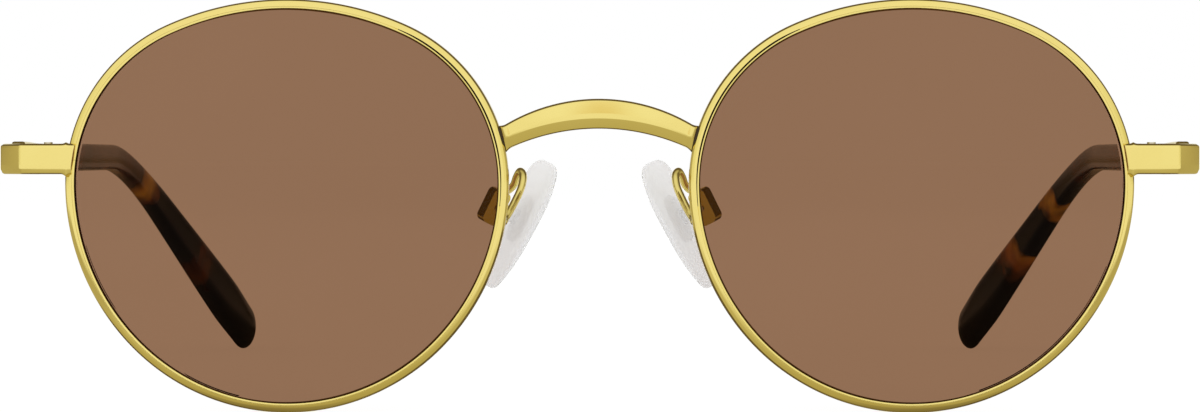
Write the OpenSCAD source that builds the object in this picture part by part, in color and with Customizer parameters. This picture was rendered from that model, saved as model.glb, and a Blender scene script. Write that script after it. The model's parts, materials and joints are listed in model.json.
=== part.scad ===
// Round metal eyeglasses that stand on their rims and temple tips.
// X runs across the front, the front faces -Y, and Z is up.
// The left_ parts are the wearer's own left side and lie at +X.
// Each side part is modelled once at +X, and the right_ parts are its mirror image.

/* [Rims] */
// Outside width of one rim
rim_w = 51.2; // [47:0.2:55]
// Height of a rim above its widest line
rim_rise = 21.1; // [19:0.1:23]
// Height of a rim below its widest line
rim_fall = 26.3; // [24:0.1:28]
// Half the angle that the flat arc at the top of a rim spans
cap_half_angle = 24; // [16:1:36]
// Half the angle that the round arc at the foot of a rim spans
foot_half_angle = 45; // [30:1:60]
// Gap between the two rims at their nearest
rim_gap = 20.5; // [18:0.1:24]
// Width of the rim wire, seen from the front
rim_band = 1.1; // [0.95:0.05:1.5]
// Depth of the rim wire, from front to back
rim_depth = 1.9; // [1.7:0.1:2.6]
// Radius of the crowned outer side of the rim wire
rim_crown_r = 1.6; // [1.4:0.1:3]
// Depth of the bevel groove that holds the lens
groove_depth = 0.5; // [0.35:0.05:0.55]
// Width of the fine line cut round the front of the rim
line_w = 0.16; // [0.1:0.02:0.24]
// Depth of the fine line cut round the front of the rim
line_depth = 0.14; // [0.06:0.02:0.2]
// Angle by which each rim turns back at the temple side
wrap_angle = 3; // [0:0.5:6]
// Saw cut where the rim opens to take the lens
split_gap = 0.2; // [0.1:0.05:0.4]

/* [Lenses] */
// Radius of the front surface of a lens
lens_front_r = 120; // [90:1:180]
// Thickness of a lens
lens_t = 2; // [1.6:0.1:2.4]
// Free space between the lens edge and the rim
lens_play = 0.05; // [0.03:0.01:0.1]

/* [Bridge] */
// Radius of the arch of the bridge, seen from the front
bridge_r = 24; // [20:0.5:32]
// Height of the middle of the bridge above the widest line of the rims
bridge_rise = 7.95; // [6:0.1:10]
// Height of the bridge bar at its middle
bridge_h = 3.4; // [2.6:0.1:4.2]
// Height of the bridge bar where it meets the rims
bridge_end_h = 2.8; // [2.2:0.1:3.6]
// Depth of the bridge bar, from front to back
bridge_t = 1.7; // [1.4:0.1:2.2]
// Height of the bevel along the lower front edge of the bridge
bridge_bevel = 1.15; // [0.6:0.05:1.4]
// Distance by which the middle of the bridge stands ahead of its ends
bridge_bow = 1.2; // [0.5:0.1:3]
// Height of the solder fillets above and below the bridge where it meets the rims
bridge_fillet = 0.5; // [0.2:0.05:0.8]
// Length of the solder fillets along the bridge
fillet_l = 1.3; // [0.8:0.1:2]

/* [End pieces] */
// Height of an end piece
end_h = 3.5; // [3:0.1:4]
// Height of the middle of the end pieces above the widest line of the rims
end_rise = 2.8; // [1:0.1:4]
// Thickness of the end piece plate in front of the rim
end_t = 1.35; // [1.2:0.05:1.6]
// Distance by which the plate stands ahead of the rim front
end_proud = 0.75; // [0.5:0.05:1]
// Width of the rim band that the plate covers
end_lap = 0.85; // [0.4:0.05:0.9]
// Width of the slanted panel at the outer end of the plate
end_slant_w = 2.7; // [2:0.1:3.2]
// Depth of the slanted panel
end_slant_d = 2.95; // [2:0.05:3.4]
// Corner radius of the end piece, seen from the front
end_corner_r = 0.55; // [0.2:0.05:0.8]
// Height of the bevel along the lower front edge of the plate
end_bevel = 0.55; // [0.3:0.05:0.9]

/* [Closing blocks] */
// Length of a closing block outward from the rim
block_l = 4; // [3.6:0.1:4.4]
// Depth of a closing block, from front to back
block_d = 2.3; // [2:0.1:2.8]
// Distance of the lock screw from the outside of the rim
lock_out = 2.35; // [2.1:0.05:2.6]
// Radius of the lock screw
lock_r = 0.5; // [0.4:0.05:0.6]
// Radius of the head of the lock screw
lock_head_r = 0.8; // [0.7:0.05:0.9]
// Height of the head of the lock screw
lock_head_h = 0.4; // [0.3:0.05:0.5]

/* [Hinges] */
// Width across the front, over the temple arms at the hinges
hinge_span = 138.4; // [134:0.2:144]
// Depth of the hinge axis behind the middle of the rims
hinge_y = 9.75; // [9:0.05:12]
// Radius of the hinge barrels
barrel_r = 1.15; // [1.05:0.05:1.3]
// Distance of the hinge axis inward from the inner face of the arm
barrel_in = 1.2; // [1.2:0.05:1.6]
// Height of the whole hinge
hinge_h = 3.1; // [2.8:0.1:3.3]
// Height of the middle barrel, which belongs to the temple
middle_h = 1.15; // [0.9:0.05:1.3]
// Radius of the hinge screw
pin_r = 0.58; // [0.5:0.02:0.64]
// Running clearance round the hinge screw
pin_play = 0.04; // [0.02:0.01:0.08]
// Free height between neighbouring barrels
barrel_gap = 0.05; // [0.03:0.01:0.1]
// Length of the brazed foot of each hinge half
foot_l = 3.2; // [2.6:0.1:4]
// Thickness of the brazed foot of each hinge half
foot_t = 0.6; // [0.5:0.05:0.7]
// Gap between the butt faces of the end piece and the arm
butt_gap = 0.1; // [0.06:0.02:0.2]

/* [Temples] */
// Thickness of the metal arm
arm_t = 1.6; // [1.4:0.1:2]
// Height of the metal arm at the hinge
arm_front_h = 3.7; // [3.3:0.1:4]
// Height of the metal arm where it enters the sleeve
arm_back_h = 2.7; // [2.2:0.1:3]
// Length of bare metal arm from the hinge to the sleeve
bare_l = 36; // [28:1:44]
// Length of the straight temple from the hinge to the bend
straight_l = 76; // [70:1:84]
// Radius of the bend over the ear
bend_r = 38; // [30:1:46]
// Angle of the bend over the ear
bend_angle = 36; // [32:1:40]
// Angle by which the plane of the bend leans inward
bend_lean = 26; // [20:1:30]
// Height of the sleeve at its front end
sleeve_h = 3.5; // [3.1:0.1:3.8]
// Thickness of the sleeve at its front end
sleeve_t = 2.5; // [2.3:0.1:3]
// Height of the sleeve at the tip
tip_h = 6.8; // [6:0.1:8]
// Thickness of the sleeve at the tip
tip_t = 2.9; // [2.6:0.1:3.4]
// Length over which the sleeve grows from its slim part to the tip
tip_growth = 50; // [40:1:60]
// Radius of the rounded end of the tip
tip_round = 3.5; // [2.5:0.1:4]
// Height of the core wire inside the sleeve
core_h = 1.7; // [1.3:0.1:2]
// Thickness of the core wire inside the sleeve
core_t = 1.1; // [0.8:0.1:1.4]
// Length of solid tip beyond the end of the core wire
core_stop = 12; // [8:1:20]
// Clearance between the core wire and the sleeve
core_play = 0.03; // [0.02:0.01:0.06]

/* [Nose pads] */
// Distance of a pad's middle from the middle of the bridge
pad_out = 9.4; // [8.8:0.1:10]
// Depth of a pad's middle behind the middle of the rims
pad_back = 8.3; // [7.8:0.1:9]
// Height of a pad's middle below the widest line of the rims
pad_drop = 4.9; // [4:0.1:6]
// Length of a nose pad
pad_l = 16.2; // [14:0.1:17]
// Width of a nose pad
pad_w = 7.8; // [6.5:0.1:8.2]
// Share by which a pad is wider above its middle and narrower below it
pad_taper = 0.21; // [0.1:0.01:0.35]
// Roundness of a pad's outline: 1 is an ellipse, and a smaller number has blunter ends
pad_blunt = 0.6; // [0.5:0.05:1]
// Thickness of the crowned side of a pad, which the nose touches
pad_crown = 1.45; // [1.2:0.05:1.8]
// Thickness of the back of a pad
pad_rear = 0.8; // [0.7:0.05:1]
// Angle by which the pads close in toward the top
pad_frontal = 26; // [20:0.5:30]
// Angle by which the pads open toward the back
pad_splay = 27; // [20:0.5:32]
// Radius of the wire of a pad arm
wire_r = 0.45; // [0.4:0.01:0.5]
// Distance of the pad screw from the middle of the pad's thickness
pad_axis_out = 3.8; // [3.6:0.05:4]
// Height of the pad screw above the middle of the pad
pad_axis_up = 0.7; // [0:0.1:1.5]
// Radius of the pad screw
pad_screw_r = 0.45; // [0.35:0.01:0.5]
// Running clearance round the pad screw
pad_screw_play = 0.04; // [0.02:0.01:0.08]
// Radius of the eye on the pad's insert
eye_r = 0.9; // [0.8:0.05:1]
// Thickness of the eye on the pad's insert
eye_t = 1; // [0.8:0.05:1.2]
// Free space on each side of the eye inside the box
eye_play = 0.05; // [0.03:0.01:0.1]
// Thickness of the cheeks of the pad box
cheek_t = 0.4; // [0.3:0.05:0.5]
// Height of the pad box
box_h = 4.2; // [3.6:0.1:4.6]

/* [Hidden] */
$fn = 64;

gold = "#e6c65c";
tortoise = "#4a2a14";
lens_brown = [0.45, 0.3, 0.18, 0.6];
clear = [0.88, 0.9, 0.92, 0.6];
steel = "#c9c6bd";
eps = 0.01;

// Places worked out from the sizes above
rim_x = rim_gap / 2 + rim_w / 2;
wide_z = rim_fall;
end_z = wide_z + end_rise;
arm_x = hinge_span / 2 - arm_t / 2;
arm_in = hinge_span / 2 - arm_t;
axis_x = arm_in - barrel_in;
pad_mid = [pad_out, pad_back, wide_z - pad_drop];

// Vector and path functions
function unit(v) = v / norm(v);
function smooth(u) = let (c = min(1, max(0, u))) c * c * (3 - 2 * c);
function lerp(a, b, u) = a + (b - a) * u;

// One quarter of the rim is a cap arc and a side arc that meet without a kink.
// The result is [radius of the cap arc, radius of the side arc].
function quarter_radii(half_w, rise, turn) =
    let (
        s = sin(turn),
        c = cos(turn),
        det = s * c - (1 - s) * (1 - c),
        cap = (half_w * c - rise * (1 - s)) / det
    )
    [cap, (rise - cap * (1 - c)) / c];

upper = quarter_radii(rim_w / 2, rim_rise, cap_half_angle);
lower = quarter_radii(rim_w / 2, rim_fall, foot_half_angle);

// The six arcs of a rim as [centre x, centre y, radius, start angle, end angle]
rim_arcs = [
    [rim_w / 2 - upper[1], 0, upper[1], 0, 90 - cap_half_angle],
    [0, rim_rise - upper[0], upper[0], 90 - cap_half_angle, 90 + cap_half_angle],
    [upper[1] - rim_w / 2, 0, upper[1], 90 + cap_half_angle, 180],
    [lower[1] - rim_w / 2, 0, lower[1], 180, 270 - foot_half_angle],
    [0, lower[0] - rim_fall, lower[0], 270 - foot_half_angle, 270 + foot_half_angle],
    [rim_w / 2 - lower[1], 0, lower[1], 270 + foot_half_angle, 360]
];

// Points along the rim outline, moved inward by inset
function outline(inset, step) = [
    for (arc = rim_arcs)
        let (n = ceil((arc[4] - arc[3]) / step))
            for (i = [0:n - 1])
                let (a = lerp(arc[3], arc[4], i / n))
                    [arc[0] + (arc[2] - inset) * cos(a), arc[1] + (arc[2] - inset) * sin(a)]
];

// Distance from the middle of the rim to its outside on the temple side at height z
function rim_reach(z) =
    let (arc = z > 0 ? rim_arcs[0] : rim_arcs[5])
    arc[0] + sqrt(arc[2] * arc[2] - z * z);

// Outside of the rim at the end piece, after the wrap
rim_end_x = rim_x + rim_reach(end_rise) * cos(wrap_angle);
rim_end_y = rim_reach(end_rise) * sin(wrap_angle);
plate_front = rim_end_y - rim_depth / 2 - end_proud;
plate_back = plate_front + end_t;
block_mid_y = plate_back + block_d / 2;
lock_x = rim_end_x + lock_out;

// Height of the sphere centre of the lens, at the middle of the outline, and its depth behind the rim
lens_mid_y = (rim_rise - rim_fall) / 2;
lens_mid_r = lens_front_r - lens_t / 2;
lens_edge_r = (rim_w + rim_rise + rim_fall) / 4 - rim_band;
lens_centre = sqrt(lens_mid_r * lens_mid_r - lens_edge_r * lens_edge_r);

// Rings of points joined into a closed skin, all rings with the same number of points
module skin(rings) {
    m = len(rings[0]);
    n = len(rings);
    points = [for (ring = rings) for (p = ring) p];
    sides = [
        for (i = [0:n - 2])
            for (j = [0:m - 1])
                let (
                    a = i * m + j,
                    b = i * m + (j + 1) % m,
                    c = a + m,
                    d = b + m
                )
                    for (face = [[a, b, d], [a, d, c]]) face
    ];
    start_cap = [for (j = [m - 1:-1:0]) j];
    end_cap = [for (j = [0:m - 1]) (n - 1) * m + j];
    polyhedron(points = points, faces = concat(sides, [start_cap, end_cap]), convexity = 6);
}

// Rectangle with rounded corners as a list of points, counter-clockwise
function round_rect(w, h, r) = [
    for (corner = [[1, 1, 0], [-1, 1, 90], [-1, -1, 180], [1, -1, 270]])
        for (a = [0, 45, 90])
            [
                corner[0] * (w / 2 - r) + r * cos(corner[2] + a),
                corner[1] * (h / 2 - r) + r * sin(corner[2] + a)
            ]
];

// Oval with flattened sides as a list of points, counter-clockwise
function flat_oval(w, h, count) = [
    for (i = [0:count - 1])
        let (a = (i + 0.5) * 360 / count, c = cos(a), s = sin(a), e = 0.72)
            [sign(c) * pow(abs(c), e) * w / 2, sign(s) * pow(abs(s), e) * h / 2]
];

// Sets the parts of the wearer's right side, which mirror the left ones
module right_side() {
    mirror([1, 0, 0]) children();
}

// Moves the finished part so that its box is centred on Y
module part_frame() {
    translate([0, -mid_y, 0]) children();
}

// Stands a shape drawn in the plane of a rim upright in its place
module in_rim() {
    translate([rim_x, 0, wide_z]) rotate([0, 0, wrap_angle]) rotate([90, 0, 0]) children();
}

// Moves by a long decimal in two steps, a round one and its small remainder, so that no digit
// is lost and neighbouring arcs meet face to face
module move_exactly(v) {
    coarse = [for (c = v) round(c * 100) / 100];
    translate(coarse) translate(v - coarse) children();
}

// Bends a rim wire section round the outline: section x is measured from the outer edge
module round_the_rim() {
    for (arc = rim_arcs)
        move_exactly([arc[0], arc[1], 0])
            rotate_extrude(angle = arc[4] - arc[3], start = arc[3], $fn = 120)
                move_exactly([arc[2], 0, 0]) children();
}

// Section of the rim wire with its crowned outer side, lens groove and front line
module rim_section() {
    difference() {
        intersection() {
            translate([-rim_band, -rim_depth / 2]) square([rim_band, rim_depth]);
            translate([-rim_crown_r, 0]) circle(r = rim_crown_r);
        }
        polygon([
            [-rim_band - eps, -groove_depth - eps],
            [-rim_band + groove_depth, 0],
            [-rim_band - eps, groove_depth + eps]
        ]);
        translate([-rim_band * 0.68, rim_depth / 2])
            polygon([[-line_w / 2, eps], [0, -line_depth], [line_w / 2, eps]]);
    }
}

// Filled form of the rim wire, used to seat what is brazed to it
module rim_envelope() {
    in_rim() round_the_rim() intersection() {
        translate([-rim_band, -rim_depth / 2]) square([rim_band, rim_depth]);
        translate([-rim_crown_r, 0]) circle(r = rim_crown_r);
    }
}

module rim() {
    color(gold) difference() {
        in_rim() round_the_rim() rim_section();
        translate([rim_x, -rim_w, end_z - split_gap / 2]) cube([rim_w, 2 * rim_w, split_gap]);
    }
}

// Rings of a lens from the middle of its front to the middle of its back, in the plane of the rim.
// Both faces lie on spheres, and the edge has a ridge that seats in the groove of the rim.
function on_sphere(p, r) = [p[0], p[1], sqrt(r * r - p[0] * p[0] - pow(p[1] - lens_mid_y, 2)) - lens_centre];
lens_rings =
    let (
        edge = outline(rim_band + lens_play / 2, 5),
        tip = outline(rim_band - groove_depth + lens_play * sqrt(2), 5),
        ridge_half = groove_depth - lens_play * (sqrt(2) - 0.5),
        steps = [0.06, 0.3, 0.55, 0.8, 1]
    )
    concat(
        [for (k = steps) [for (p = edge) on_sphere(k * p, lens_front_r)]],
        [[for (p = edge) [p[0], p[1], ridge_half]]],
        [[for (p = tip) [p[0], p[1], 0]]],
        [[for (p = edge) [p[0], p[1], -ridge_half]]],
        [for (i = [4:-1:0]) [for (p = edge) on_sphere(steps[i] * p, lens_front_r - lens_t)]]
    );

module lens() {
    color(lens_brown) in_rim() skin([for (i = [len(lens_rings) - 1:-1:0]) lens_rings[i]]);
}

// Section of the bridge bar as [height, depth] with its lower front bevel
function bridge_section(h) =
    let (t = bridge_t / 2, ease = 0.22, lip = 0.2 * bridge_t)
    [
        [h / 2 - ease, -t],
        [h / 2, -t + ease],
        [h / 2, t - ease],
        [h / 2 - ease, t],
        [-h / 2 + ease, t],
        [-h / 2, t - ease],
        [-h / 2, -t + ease + bridge_t * 0.35],
        [-h / 2 + bridge_bevel * 0.5, -t + bridge_t * 0.22],
        [-h / 2 + bridge_bevel, -t + 0.02],
        [0.1 * h, -t - lip * 0.3]
    ];

// The bridge runs from inside one rim band to inside the other, and its ends are cut to fit
bridge_reach = rim_gap / 2 + rim_band + 0.9;
bridge_swing = asin(bridge_reach / bridge_r);
bridge_rings = [
    for (i = [-16:16])
        let (
            // The rings stand closer together toward the ends, where the fillets are
            a = bridge_swing * sin(i * 90 / 16),
            x = bridge_r * sin(a),
            z = wide_z + bridge_rise - bridge_r * (1 - cos(a)),
            k = pow(x / bridge_reach, 2),
            y = -rim_w / 2 * sin(wrap_angle) - bridge_bow * (1 - k),
            to_rim = bridge_reach - rim_band - abs(x),
            flare = bridge_fillet * pow(min(1, max(0, 1 - to_rim / fillet_l)), 2),
            h = lerp(bridge_h, bridge_end_h, k) + 2 * flare
        )
            [for (q = bridge_section(h)) [x + q[0] * sin(a), y + q[1], z + q[0] * cos(a)]]
];

// Everything inside the rim band to this depth, used to clear what would reach into the lens opening
module lens_opening(depth) {
    in_rim() translate([0, 0, -depth / 2]) linear_extrude(depth) polygon(outline(rim_band / 2, 6));
}

module bridge() {
    color(gold) difference() {
        skin(bridge_rings);
        rim_envelope();
        lens_opening(rim_w);
        right_side() rim_envelope();
        right_side() lens_opening(rim_w);
    }
}

// Plan of the end piece: a plate, a slanted panel and a strip that runs back to the hinge
module end_plan() {
    out = hinge_span / 2;
    turn = atan2(end_slant_d, end_slant_w);
    // Lines parallel to the slanted panel meet the inner faces of the plate and the strip
    corner_x = out - end_slant_w - end_t * tan(turn / 2);
    corner_y = plate_front + end_slant_d + arm_t * tan((90 - turn) / 2);
    polygon([
        [rim_end_x - rim_band, plate_front],
        [out - end_slant_w, plate_front],
        [out, plate_front + end_slant_d],
        [out, hinge_y - butt_gap / 2],
        [arm_in, hinge_y - butt_gap / 2],
        [arm_in, corner_y],
        [corner_x, plate_back],
        [rim_end_x - rim_band, plate_back]
    ]);
}

// Front outline of the end piece with rounded outer corners
module end_front() {
    left = rim_end_x - 2 * rim_band;
    right = hinge_span / 2;
    union() {
        translate([left, -end_h / 2]) square([right - end_corner_r - left, end_h]);
        translate([left, -end_h / 2 + end_corner_r])
            square([right - left, end_h - 2 * end_corner_r]);
        for (s = [-1, 1])
            translate([right - end_corner_r, s * (end_h / 2 - end_corner_r)]) circle(r = end_corner_r);
    }
}

module end_piece() {
    color(gold) difference() {
        intersection() {
            translate([0, 0, end_z - end_h / 2]) linear_extrude(end_h) end_plan();
            translate([0, hinge_y * 2, end_z]) rotate([90, 0, 0]) linear_extrude(hinge_y * 4) end_front();
        }
        rim_envelope();
        // The inner edge of the plate follows the rim and leaves its inner lip bare
        in_rim() translate([rim_arcs[0][0], 0, -rim_w / 2])
            cylinder(r = rim_arcs[0][2] - end_lap, h = rim_w, $fn = 160);
        // Bevel along the lower front edge
        translate([rim_end_x - 2 * rim_band, plate_front, end_z - end_h / 2])
            rotate([90, 0, 90])
                linear_extrude(hinge_span / 2 - end_slant_w * 0.9 - rim_end_x + 2 * rim_band)
                    polygon([[-1, -1], [end_t * 0.35, -1], [end_t * 0.35, 0], [0, end_bevel], [-1, end_bevel]]);
    }
}

// One closing block between two heights, with a hole for the lock screw
module closing_block(low, high, hole_r) {
    difference() {
        translate([rim_end_x - rim_band, plate_back, low])
            cube([block_l + rim_band, block_d, high - low]);
        rim_envelope();
        in_rim() translate([rim_arcs[0][0], 0, -rim_w / 2])
            cylinder(r = rim_arcs[0][2] - rim_band / 2, h = rim_w, $fn = 160);
        translate([lock_x, block_mid_y, low - eps]) cylinder(r = hole_r, h = high - low + 2 * eps);
    }
}

module upper_closing_block() {
    color(gold) closing_block(end_z + split_gap / 2, end_z + end_h / 2, lock_r);
}

module lower_closing_block() {
    low = end_z - end_h / 2;
    color(gold) difference() {
        closing_block(low, end_z - split_gap / 2, lock_r + pin_play);
        translate([lock_x, block_mid_y, low - eps])
            cylinder(r = lock_head_r + pin_play, h = lock_head_h + eps);
    }
}

module lock_screw() {
    low = end_z - end_h / 2;
    tip = 0.18;
    color(steel) translate([lock_x, block_mid_y, low]) difference() {
        union() {
            cylinder(r = lock_head_r, h = lock_head_h);
            cylinder(r = lock_r, h = end_h + tip);
        }
        translate([-lock_head_r, -0.12, -eps]) cube([2 * lock_head_r, 0.24, 0.2]);
    }
}

// Heights of the hinge, from the bottom up
hinge_low = end_z - hinge_h / 2 - 0.1;
side_h = (hinge_h - middle_h) / 2 - barrel_gap;
middle_low = hinge_low + side_h + barrel_gap;
upper_low = middle_low + middle_h + barrel_gap;

// One hinge barrel with the web that joins it to its foot; side is -1 ahead of the axis or 1 behind
module knuckle(low, h, side) {
    web_l = barrel_r + 0.6;
    translate([axis_x, hinge_y, low]) {
        cylinder(r = barrel_r, h = h);
        translate([0, side > 0 ? 0 : -web_l, 0]) cube([barrel_in - foot_t / 2, web_l, h]);
    }
}

// Brazed foot of a hinge half, flat against the inner face of the arm or the end piece
module hinge_foot(side) {
    near = barrel_r + 0.25;
    translate([arm_in - foot_t, hinge_y + (side > 0 ? near : -near - foot_l), hinge_low])
        cube([foot_t, foot_l, hinge_h]);
}

module hinge_bore(r) {
    translate([axis_x, hinge_y, hinge_low - 1]) cylinder(r = r, h = hinge_h + 2);
}

module front_hinge() {
    color(gold) difference() {
        union() {
            knuckle(hinge_low, side_h, -1);
            knuckle(upper_low, side_h, -1);
            hinge_foot(-1);
        }
        hinge_bore(pin_r);
    }
}

module temple_hinge() {
    color(gold) difference() {
        union() {
            knuckle(middle_low, middle_h, 1);
            hinge_foot(1);
        }
        hinge_bore(pin_r + pin_play);
    }
}

module hinge_screw() {
    head_r = 0.9;
    head_h = 0.35;
    tip = 0.15;
    color(steel) translate([axis_x, hinge_y, hinge_low]) difference() {
        union() {
            translate([0, 0, -tip]) cylinder(r = pin_r, h = hinge_h + tip + eps);
            translate([0, 0, hinge_h]) cylinder(r = head_r, h = head_h);
        }
        translate([-head_r, -0.12, hinge_h + head_h - 0.2]) cube([2 * head_r, 0.24, 0.3]);
    }
}

// The temple's centre line: straight, then a bend in a leaning plane, then straight to the tip
bend_l = bend_r * bend_angle * PI / 180;
function temple_turn(s) = min(bend_angle, max(0, (s - straight_l) / bend_r * 180 / PI));
function temple_point(s) =
    let (
        turn = temple_turn(s),
        past = max(0, s - straight_l - bend_l),
        ahead = min(s, straight_l) + bend_r * sin(turn) + past * cos(turn),
        down = bend_r * (1 - cos(turn)) + past * sin(turn)
    )
    [arm_x - down * sin(bend_lean), hinge_y + ahead, end_z + 0.2 - down * cos(bend_lean)];
function temple_direction(s) =
    let (turn = temple_turn(s))
    [-sin(turn) * sin(bend_lean), cos(turn), -sin(turn) * cos(bend_lean)];

// A flat section set square on the centre line, with its thickness level
function temple_ring(s, section) =
    let (
        p = temple_point(s),
        d = temple_direction(s),
        across = unit([d[1], -d[0], 0]),
        up = cross(across, d)
    )
    [for (q = section) p + q[0] * across + q[1] * up];

// Stations along the sleeve, close together in the bend and at both ends
function sleeve_stations(total) =
    let (
        nose = [0, 0.25, 0.6],
        slim = [for (i = [1:5]) lerp(0.6, straight_l - bare_l - 2, i / 5)],
        bend = [for (i = [0:8]) straight_l - bare_l + bend_l * i / 8],
        tip_start = straight_l - bare_l + bend_l,
        tip_end = total - bare_l - tip_round,
        tip = [for (i = [1:8]) lerp(tip_start, tip_end, i / 8)],
        cap = [for (a = [20, 40, 55, 68, 78, 86]) tip_end + tip_round * sin(a)]
    )
    concat(nose, slim, bend, tip, cap);

// Outer rings of the sleeve for a temple of a given total length
function sleeve_rings(total) = [
    for (d = sleeve_stations(total))
        let (
            s = bare_l + d,
            grow = smooth((s - (total - tip_growth - tip_round)) / tip_growth),
            past = max(0, (s - (total - tip_round)) / tip_round),
            cap = sqrt(max(0, 1 - past * past)),
            nose = d < 0.6 ? lerp(0.8, 1, sqrt(d / 0.6)) : 1,
            h = lerp(sleeve_h, tip_h, grow) * cap * nose,
            t = lerp(sleeve_t, tip_t, grow) * pow(cap, 0.7) * nose
        )
            temple_ring(s, flat_oval(t, h, 16))
];

// The temple is just long enough for its tip to touch the ground that the rims stand on
temple_guess = straight_l + bend_l + 40;
tip_low = min([for (ring = sleeve_rings(temple_guess)) for (p = ring) p[2]]);
temple_l = temple_guess + tip_low / (sin(bend_angle) * cos(bend_lean));

// Stations along the core wire inside the sleeve
function core_stations(last) = concat(
    [bare_l, lerp(bare_l, straight_l, 0.5), straight_l],
    [for (i = [1:8]) straight_l + bend_l * i / 8],
    [last]
);

function core_rings(play, last) = [
    for (s = core_stations(last))
        temple_ring(s, round_rect(core_t + 2 * play, core_h + 2 * play, 0.3))
];

core_end = temple_l - core_stop;

module temple_arm() {
    bare = [
        for (station = [
            [butt_gap / 2, 1], [bare_l / 9, 1], [bare_l / 4, 0.75],
            [bare_l * 4 / 9, 0.35], [bare_l * 2 / 3, 0.1], [bare_l, 0]
        ])
            temple_ring(
                station[0],
                round_rect(arm_t, lerp(arm_back_h, arm_front_h, station[1]), 0.35)
            )
    ];
    color(gold) skin(concat(bare, core_rings(0, core_end)));
}

module temple_sleeve() {
    cut = core_rings(core_play, core_end + 0.1);
    color(tortoise) difference() {
        skin(sleeve_rings(temple_l));
        skin(concat([temple_ring(bare_l - 1, round_rect(core_t + 2 * core_play, core_h + 2 * core_play, 0.3))],
            cut));
    }
}

// Front and back limits of the whole part
front_y = min(
    min([for (ring = lens_rings) for (p = ring) p[0] * sin(wrap_angle) - p[2] * cos(wrap_angle)]),
    min([for (ring = bridge_rings) for (p = ring) p[1]])
);
back_y = max([for (ring = sleeve_rings(temple_l)) for (p = ring) p[1]]);
mid_y = (front_y + back_y) / 2;

// Takes a point given in the pad's own frame to its place on the part
function from_pad(p) =
    let (
        x1 = p[0] * cos(pad_splay) + p[1] * sin(pad_splay),
        y1 = -p[0] * sin(pad_splay) + p[1] * cos(pad_splay)
    )
    pad_mid + [
        x1 * cos(pad_frontal) - p[2] * sin(pad_frontal),
        y1,
        x1 * sin(pad_frontal) + p[2] * cos(pad_frontal)
    ];

module in_pad() {
    translate(pad_mid) rotate([0, -pad_frontal, 0]) rotate([0, 0, -pad_splay]) children();
}

// Egg outline of a pad, widest above its middle, scaled by k
function blunt(v) = sign(v) * pow(abs(v), pad_blunt);
function pad_outline(k, x) = [
    for (i = [0:27])
        let (a = i * 360 / 28, across = blunt(cos(a)), up = blunt(sin(a)))
            [x, k * pad_w / 2 * across * (1 + pad_taper * (up - 0.15)), k * pad_l / 2 * up]
];

module nose_pad() {
    rings = concat(
        [for (k = [0.12, 0.4, 0.62, 0.8, 0.92, 0.98]) pad_outline(k, -pad_crown * (1 - pow(k, 2.4)))],
        [pad_outline(1, 0.15)],
        [for (k = [0.97, 0.88, 0.6, 0.12]) pad_outline(k, lerp(pad_rear, 0.3, pow(k, 5)))]
    );
    color(clear) in_pad() difference() {
        skin(rings);
        insert_plate();
        translate([0, -eye_t / 2, pad_axis_up - eye_r]) cube([pad_axis_out, eye_t, 2 * eye_r]);
    }
}

// Stiffening plate moulded into the pad
module insert_plate() {
    plate_l = pad_l * 0.36;
    plate_w = pad_w * 0.42;
    plate_t = 0.35;
    translate([0, 0, pad_axis_up]) rotate([0, 90, 0]) linear_extrude(plate_t) union() {
        square([plate_l - plate_w, plate_w], center = true);
        for (s = [-1, 1])
            translate([s * (plate_l - plate_w) / 2, 0]) circle(r = plate_w / 2);
    }
}

module pad_insert() {
    color(clear) in_pad() difference() {
        union() {
            insert_plate();
            translate([0, -eye_t / 2, pad_axis_up - eye_r]) cube([pad_axis_out, eye_t, 2 * eye_r]);
            translate([pad_axis_out, eye_t / 2, pad_axis_up]) rotate([90, 0, 0]) cylinder(r = eye_r, h = eye_t);
        }
        pad_screw_hole(pad_screw_r + pad_screw_play);
    }
}

module pad_screw_hole(r) {
    translate([pad_axis_out, pad_w / 2, pad_axis_up]) rotate([90, 0, 0]) cylinder(r = r, h = pad_w);
}

// Inside and outside of the pad box, measured outward from the pad
box_w = eye_t + 2 * eye_play + 2 * cheek_t;
box_in = pad_axis_out - eye_r;
box_floor = pad_axis_out + eye_r + 0.08;
box_out = box_floor + 0.35;

module box_body() {
    corner = 0.7;
    mid_z = pad_axis_up;
    translate([0, box_w / 2, mid_z]) rotate([90, 0, 0]) linear_extrude(box_w) union() {
        translate([box_in, -box_h / 2 + corner]) square([box_out - box_in, box_h - 2 * corner]);
        translate([box_in + corner, -box_h / 2]) square([box_out - box_in - 2 * corner, box_h]);
        for (x = [box_in + corner, box_out - corner])
            for (z = [-box_h / 2 + corner, box_h / 2 - corner])
                translate([x, z]) circle(r = corner);
    }
}

module pad_box() {
    color(gold) in_pad() difference() {
        box_body();
        // Slot for the eye, open toward the pad and ended by walls above and below
        translate([box_in - 1, -eye_t / 2 - eye_play, pad_axis_up - box_h / 2 + 0.45])
            cube([box_floor - box_in + 1, eye_t + 2 * eye_play, box_h - 0.9]);
        pad_screw_hole(pad_screw_r);
    }
}

module pad_screw() {
    head_r = 0.75;
    head_h = 0.4;
    tip = 0.15;
    color(steel) in_pad() translate([pad_axis_out, 0, pad_axis_up]) rotate([-90, 0, 0]) difference() {
        union() {
            translate([0, 0, -box_w / 2 - tip]) cylinder(r = pad_screw_r, h = box_w + tip + eps);
            translate([0, 0, box_w / 2]) cylinder(r = head_r, h = head_h);
        }
        translate([-head_r, -0.1, box_w / 2 + head_h - 0.18]) cube([2 * head_r, 0.2, 0.3]);
    }
}

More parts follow.
